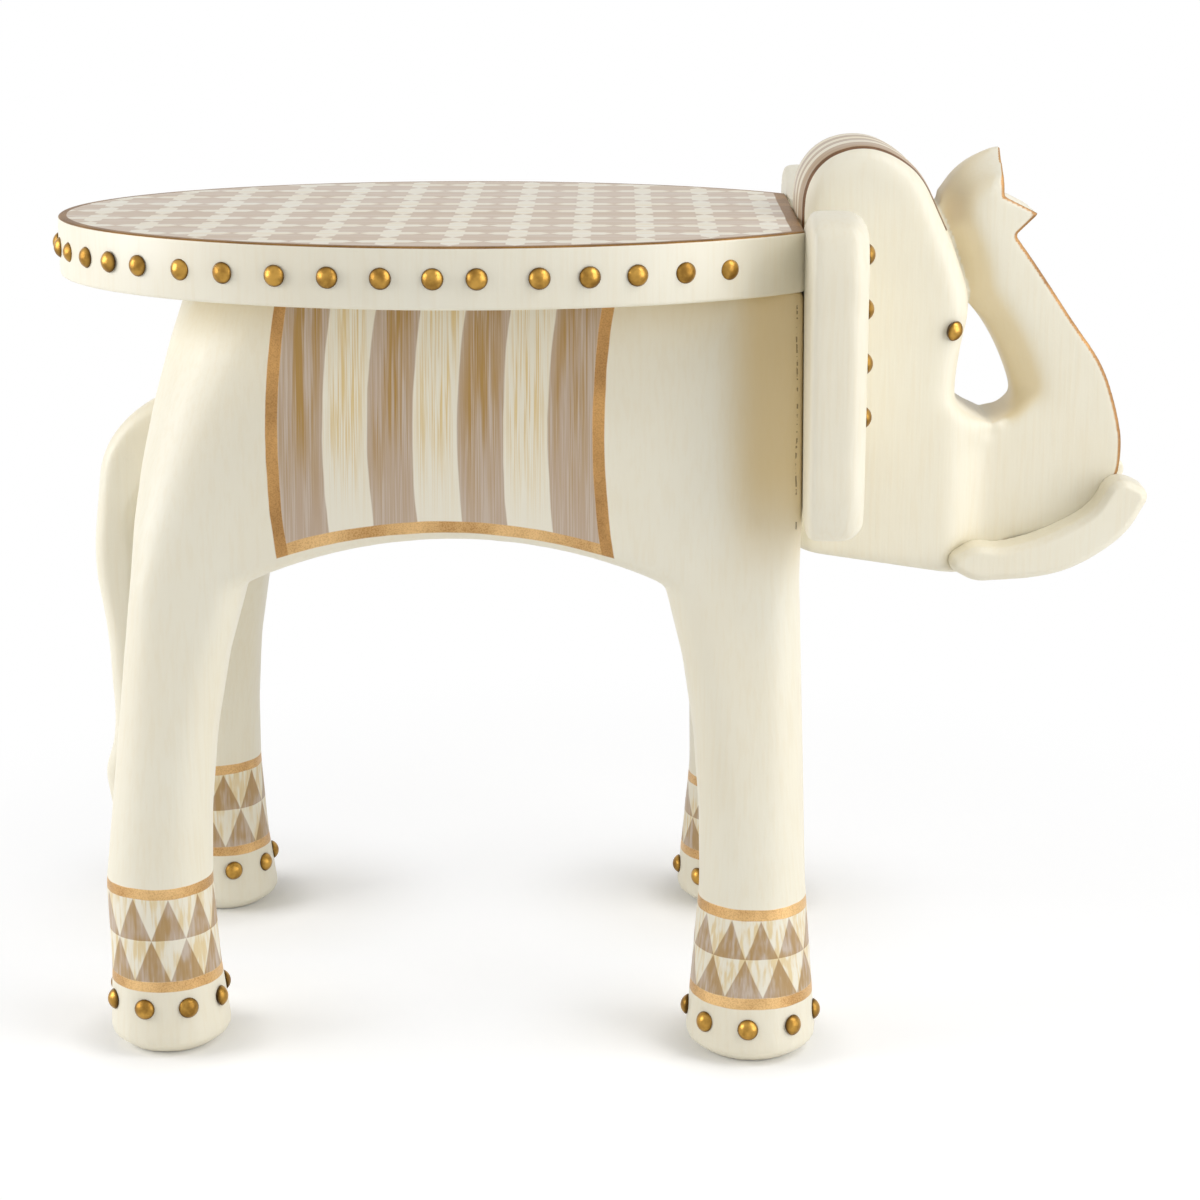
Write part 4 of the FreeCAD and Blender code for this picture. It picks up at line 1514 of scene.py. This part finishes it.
@dataclass
class Studio:
    """Pale floor, soft lamps and the camera."""

    camera_place: Size = (0.0105, -1.606, 0.6448)
    camera_pitch: float = 14.538
    camera_yaw: float = 0.3546
    camera_depth: float = 50.0
    focal_pixels: float = 2815.0
    image_pixels: float = 1200.0
    sensor_width: float = 36.0
    floor_half: float = 6.0
    floor_colour: Colour = (0.97, 0.97, 0.97, 1.0)
    floor_fade: tuple[float, float] = (0.34, 0.66)
    floor_lift: float = 0.2
    floor_glow: float = 0.75
    foot_shade: float = 0.7
    shade_reach: tuple[float, float] = (30.0, 160.0)
    contact_shadow_reach: tuple[float, float] = (30.0, 66.0)
    sky: float = 0.37
    target: Size = (0.0, 0.0, 0.25)
    lamps: tuple[Lamp, ...] = (
        Lamp("lamp_right", (1.35, -0.8, 0.65), 1.2, 11.0),
        Lamp("lamp_high", (1.0, -0.4, 1.6), 0.8, 8.5),
        Lamp("lamp_left", (-1.6, -0.3, 0.75), 1.0, 15.0),
    )

    def build_camera(self) -> None:
        """Set the camera at the photograph's viewing angle."""
        data = bpy.data.cameras.new("camera")
        data.sensor_width = self.sensor_width
        data.lens = self.sensor_width * self.focal_pixels / self.image_pixels
        data.clip_end = self.camera_depth
        camera = new_object("camera", data)
        camera.location = self.camera_place
        turn = (90 - self.camera_pitch, 0.0, self.camera_yaw)
        camera.rotation_euler = [math.radians(angle) for angle in turn]
        bpy.context.scene.camera = camera

    def seen_directly(self, bench: PaintBench) -> Signal:
        """Mask of the rays from the camera, from gloss and through glass.

        Args:
            bench: The bench of the finish.

        Returns:
            The mask.
        """
        rays = ("Is Camera Ray", "Is Glossy Ray", "Is Transmission Ray")
        camera, gloss, glass = (bench.node("ShaderNodeLightPath", {}, {}, ray) for ray in rays)
        return camera.most(gloss).most(glass)

    def build_sky(self) -> None:
        """White background that lights the table softly from all sides."""
        world = bpy.data.worlds.new("sky")
        bpy.context.scene.world = world
        world.use_nodes = True
        bench = PaintBench(world.node_tree)
        strength = bench.between(self.seen_directly(bench), self.sky, 1.0)
        light = bench.node("ShaderNodeBackground", {}, {"Color": WHITE, "Strength": strength})
        bench.node("ShaderNodeOutputWorld", {}, {"Surface": light})

    def near_feet(self, place: Place, reach: tuple[float, float]) -> Signal:
        """Mask of the floor round the feet, where shade is painted.

        Args:
            place: Where the point is.
            reach: How far from a foot's middle the mask starts to fall, and where it ends.

        Returns:
            A mask that is 1 at the feet.
        """
        mask = None
        for leg in LEGS:
            foot = foot_middle(leg) / MM
            shade = 1 - distance(place.x - foot.x, place.y - foot.y).ramp(*reach)
            mask = shade if mask is None else mask.most(shade)
        return mask

    def build_floor(self) -> None:
        """Pale floor that keeps the shadow, is painted darker round the feet, and fades into the
        background.
        """
        mesh = bpy.data.meshes.new("floor")
        half = self.floor_half
        points = [(-half, -half, 0), (half, -half, 0), (half, half, 0), (-half, half, 0)]
        mesh.from_pydata(points, [], [(0, 1, 2, 3)])
        material, bench = new_bench("pale_floor")
        place = bench.place()
        fade = (distance(place.x, place.y) * MM).ramp(*self.floor_fade)
        # Painted shade: round the feet the floor glows less, so that it is darker there.
        glow = self.floor_glow - self.foot_shade * self.near_feet(place, self.shade_reach)
        paper = bench.node("ShaderNodeBsdfDiffuse", {}, {"Color": self.floor_colour})
        lifted = bench.node("ShaderNodeAddShader", {}, {0: paper, 1: bench.glow(self.floor_lift)})
        # Painted contact shadow: close round the feet the floor loses its lift.
        shaded = bench.blend(self.near_feet(place, self.contact_shadow_reach), lifted, paper)
        seen = bench.blend(glow + fade * (1 - glow), shaded, bench.glow(1.0))
        surface = bench.blend(self.seen_directly(bench), paper, seen)
        bench.node("ShaderNodeOutputMaterial", {}, {"Surface": surface})
        mesh.materials.append(material)
        new_object("floor", mesh)

    def build(self) -> None:
        """Set up the whole studio."""
        bpy.context.scene.view_settings.view_transform = "Standard"
        self.build_camera()
        self.build_sky()
        self.build_floor()
        for lamp in self.lamps:
            lamp.build(self.target)


def main() -> None:
    """Build the studio and the table."""
    logging.basicConfig(level=logging.INFO)
    Studio().build()
    Animal().build()
    Tabletop().build()
    brass = AgedBrass().material()
    for node in NAILS:
        NailGroup(node).build(brass)
    wood = BareWood().material()
    for node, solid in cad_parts.items():
        if "tenon" in node:
            solid.data.materials.clear()
            solid.data.materials.append(wood)
            log.info("%s: bare wood", node)


if __name__ == "__main__":
    main()
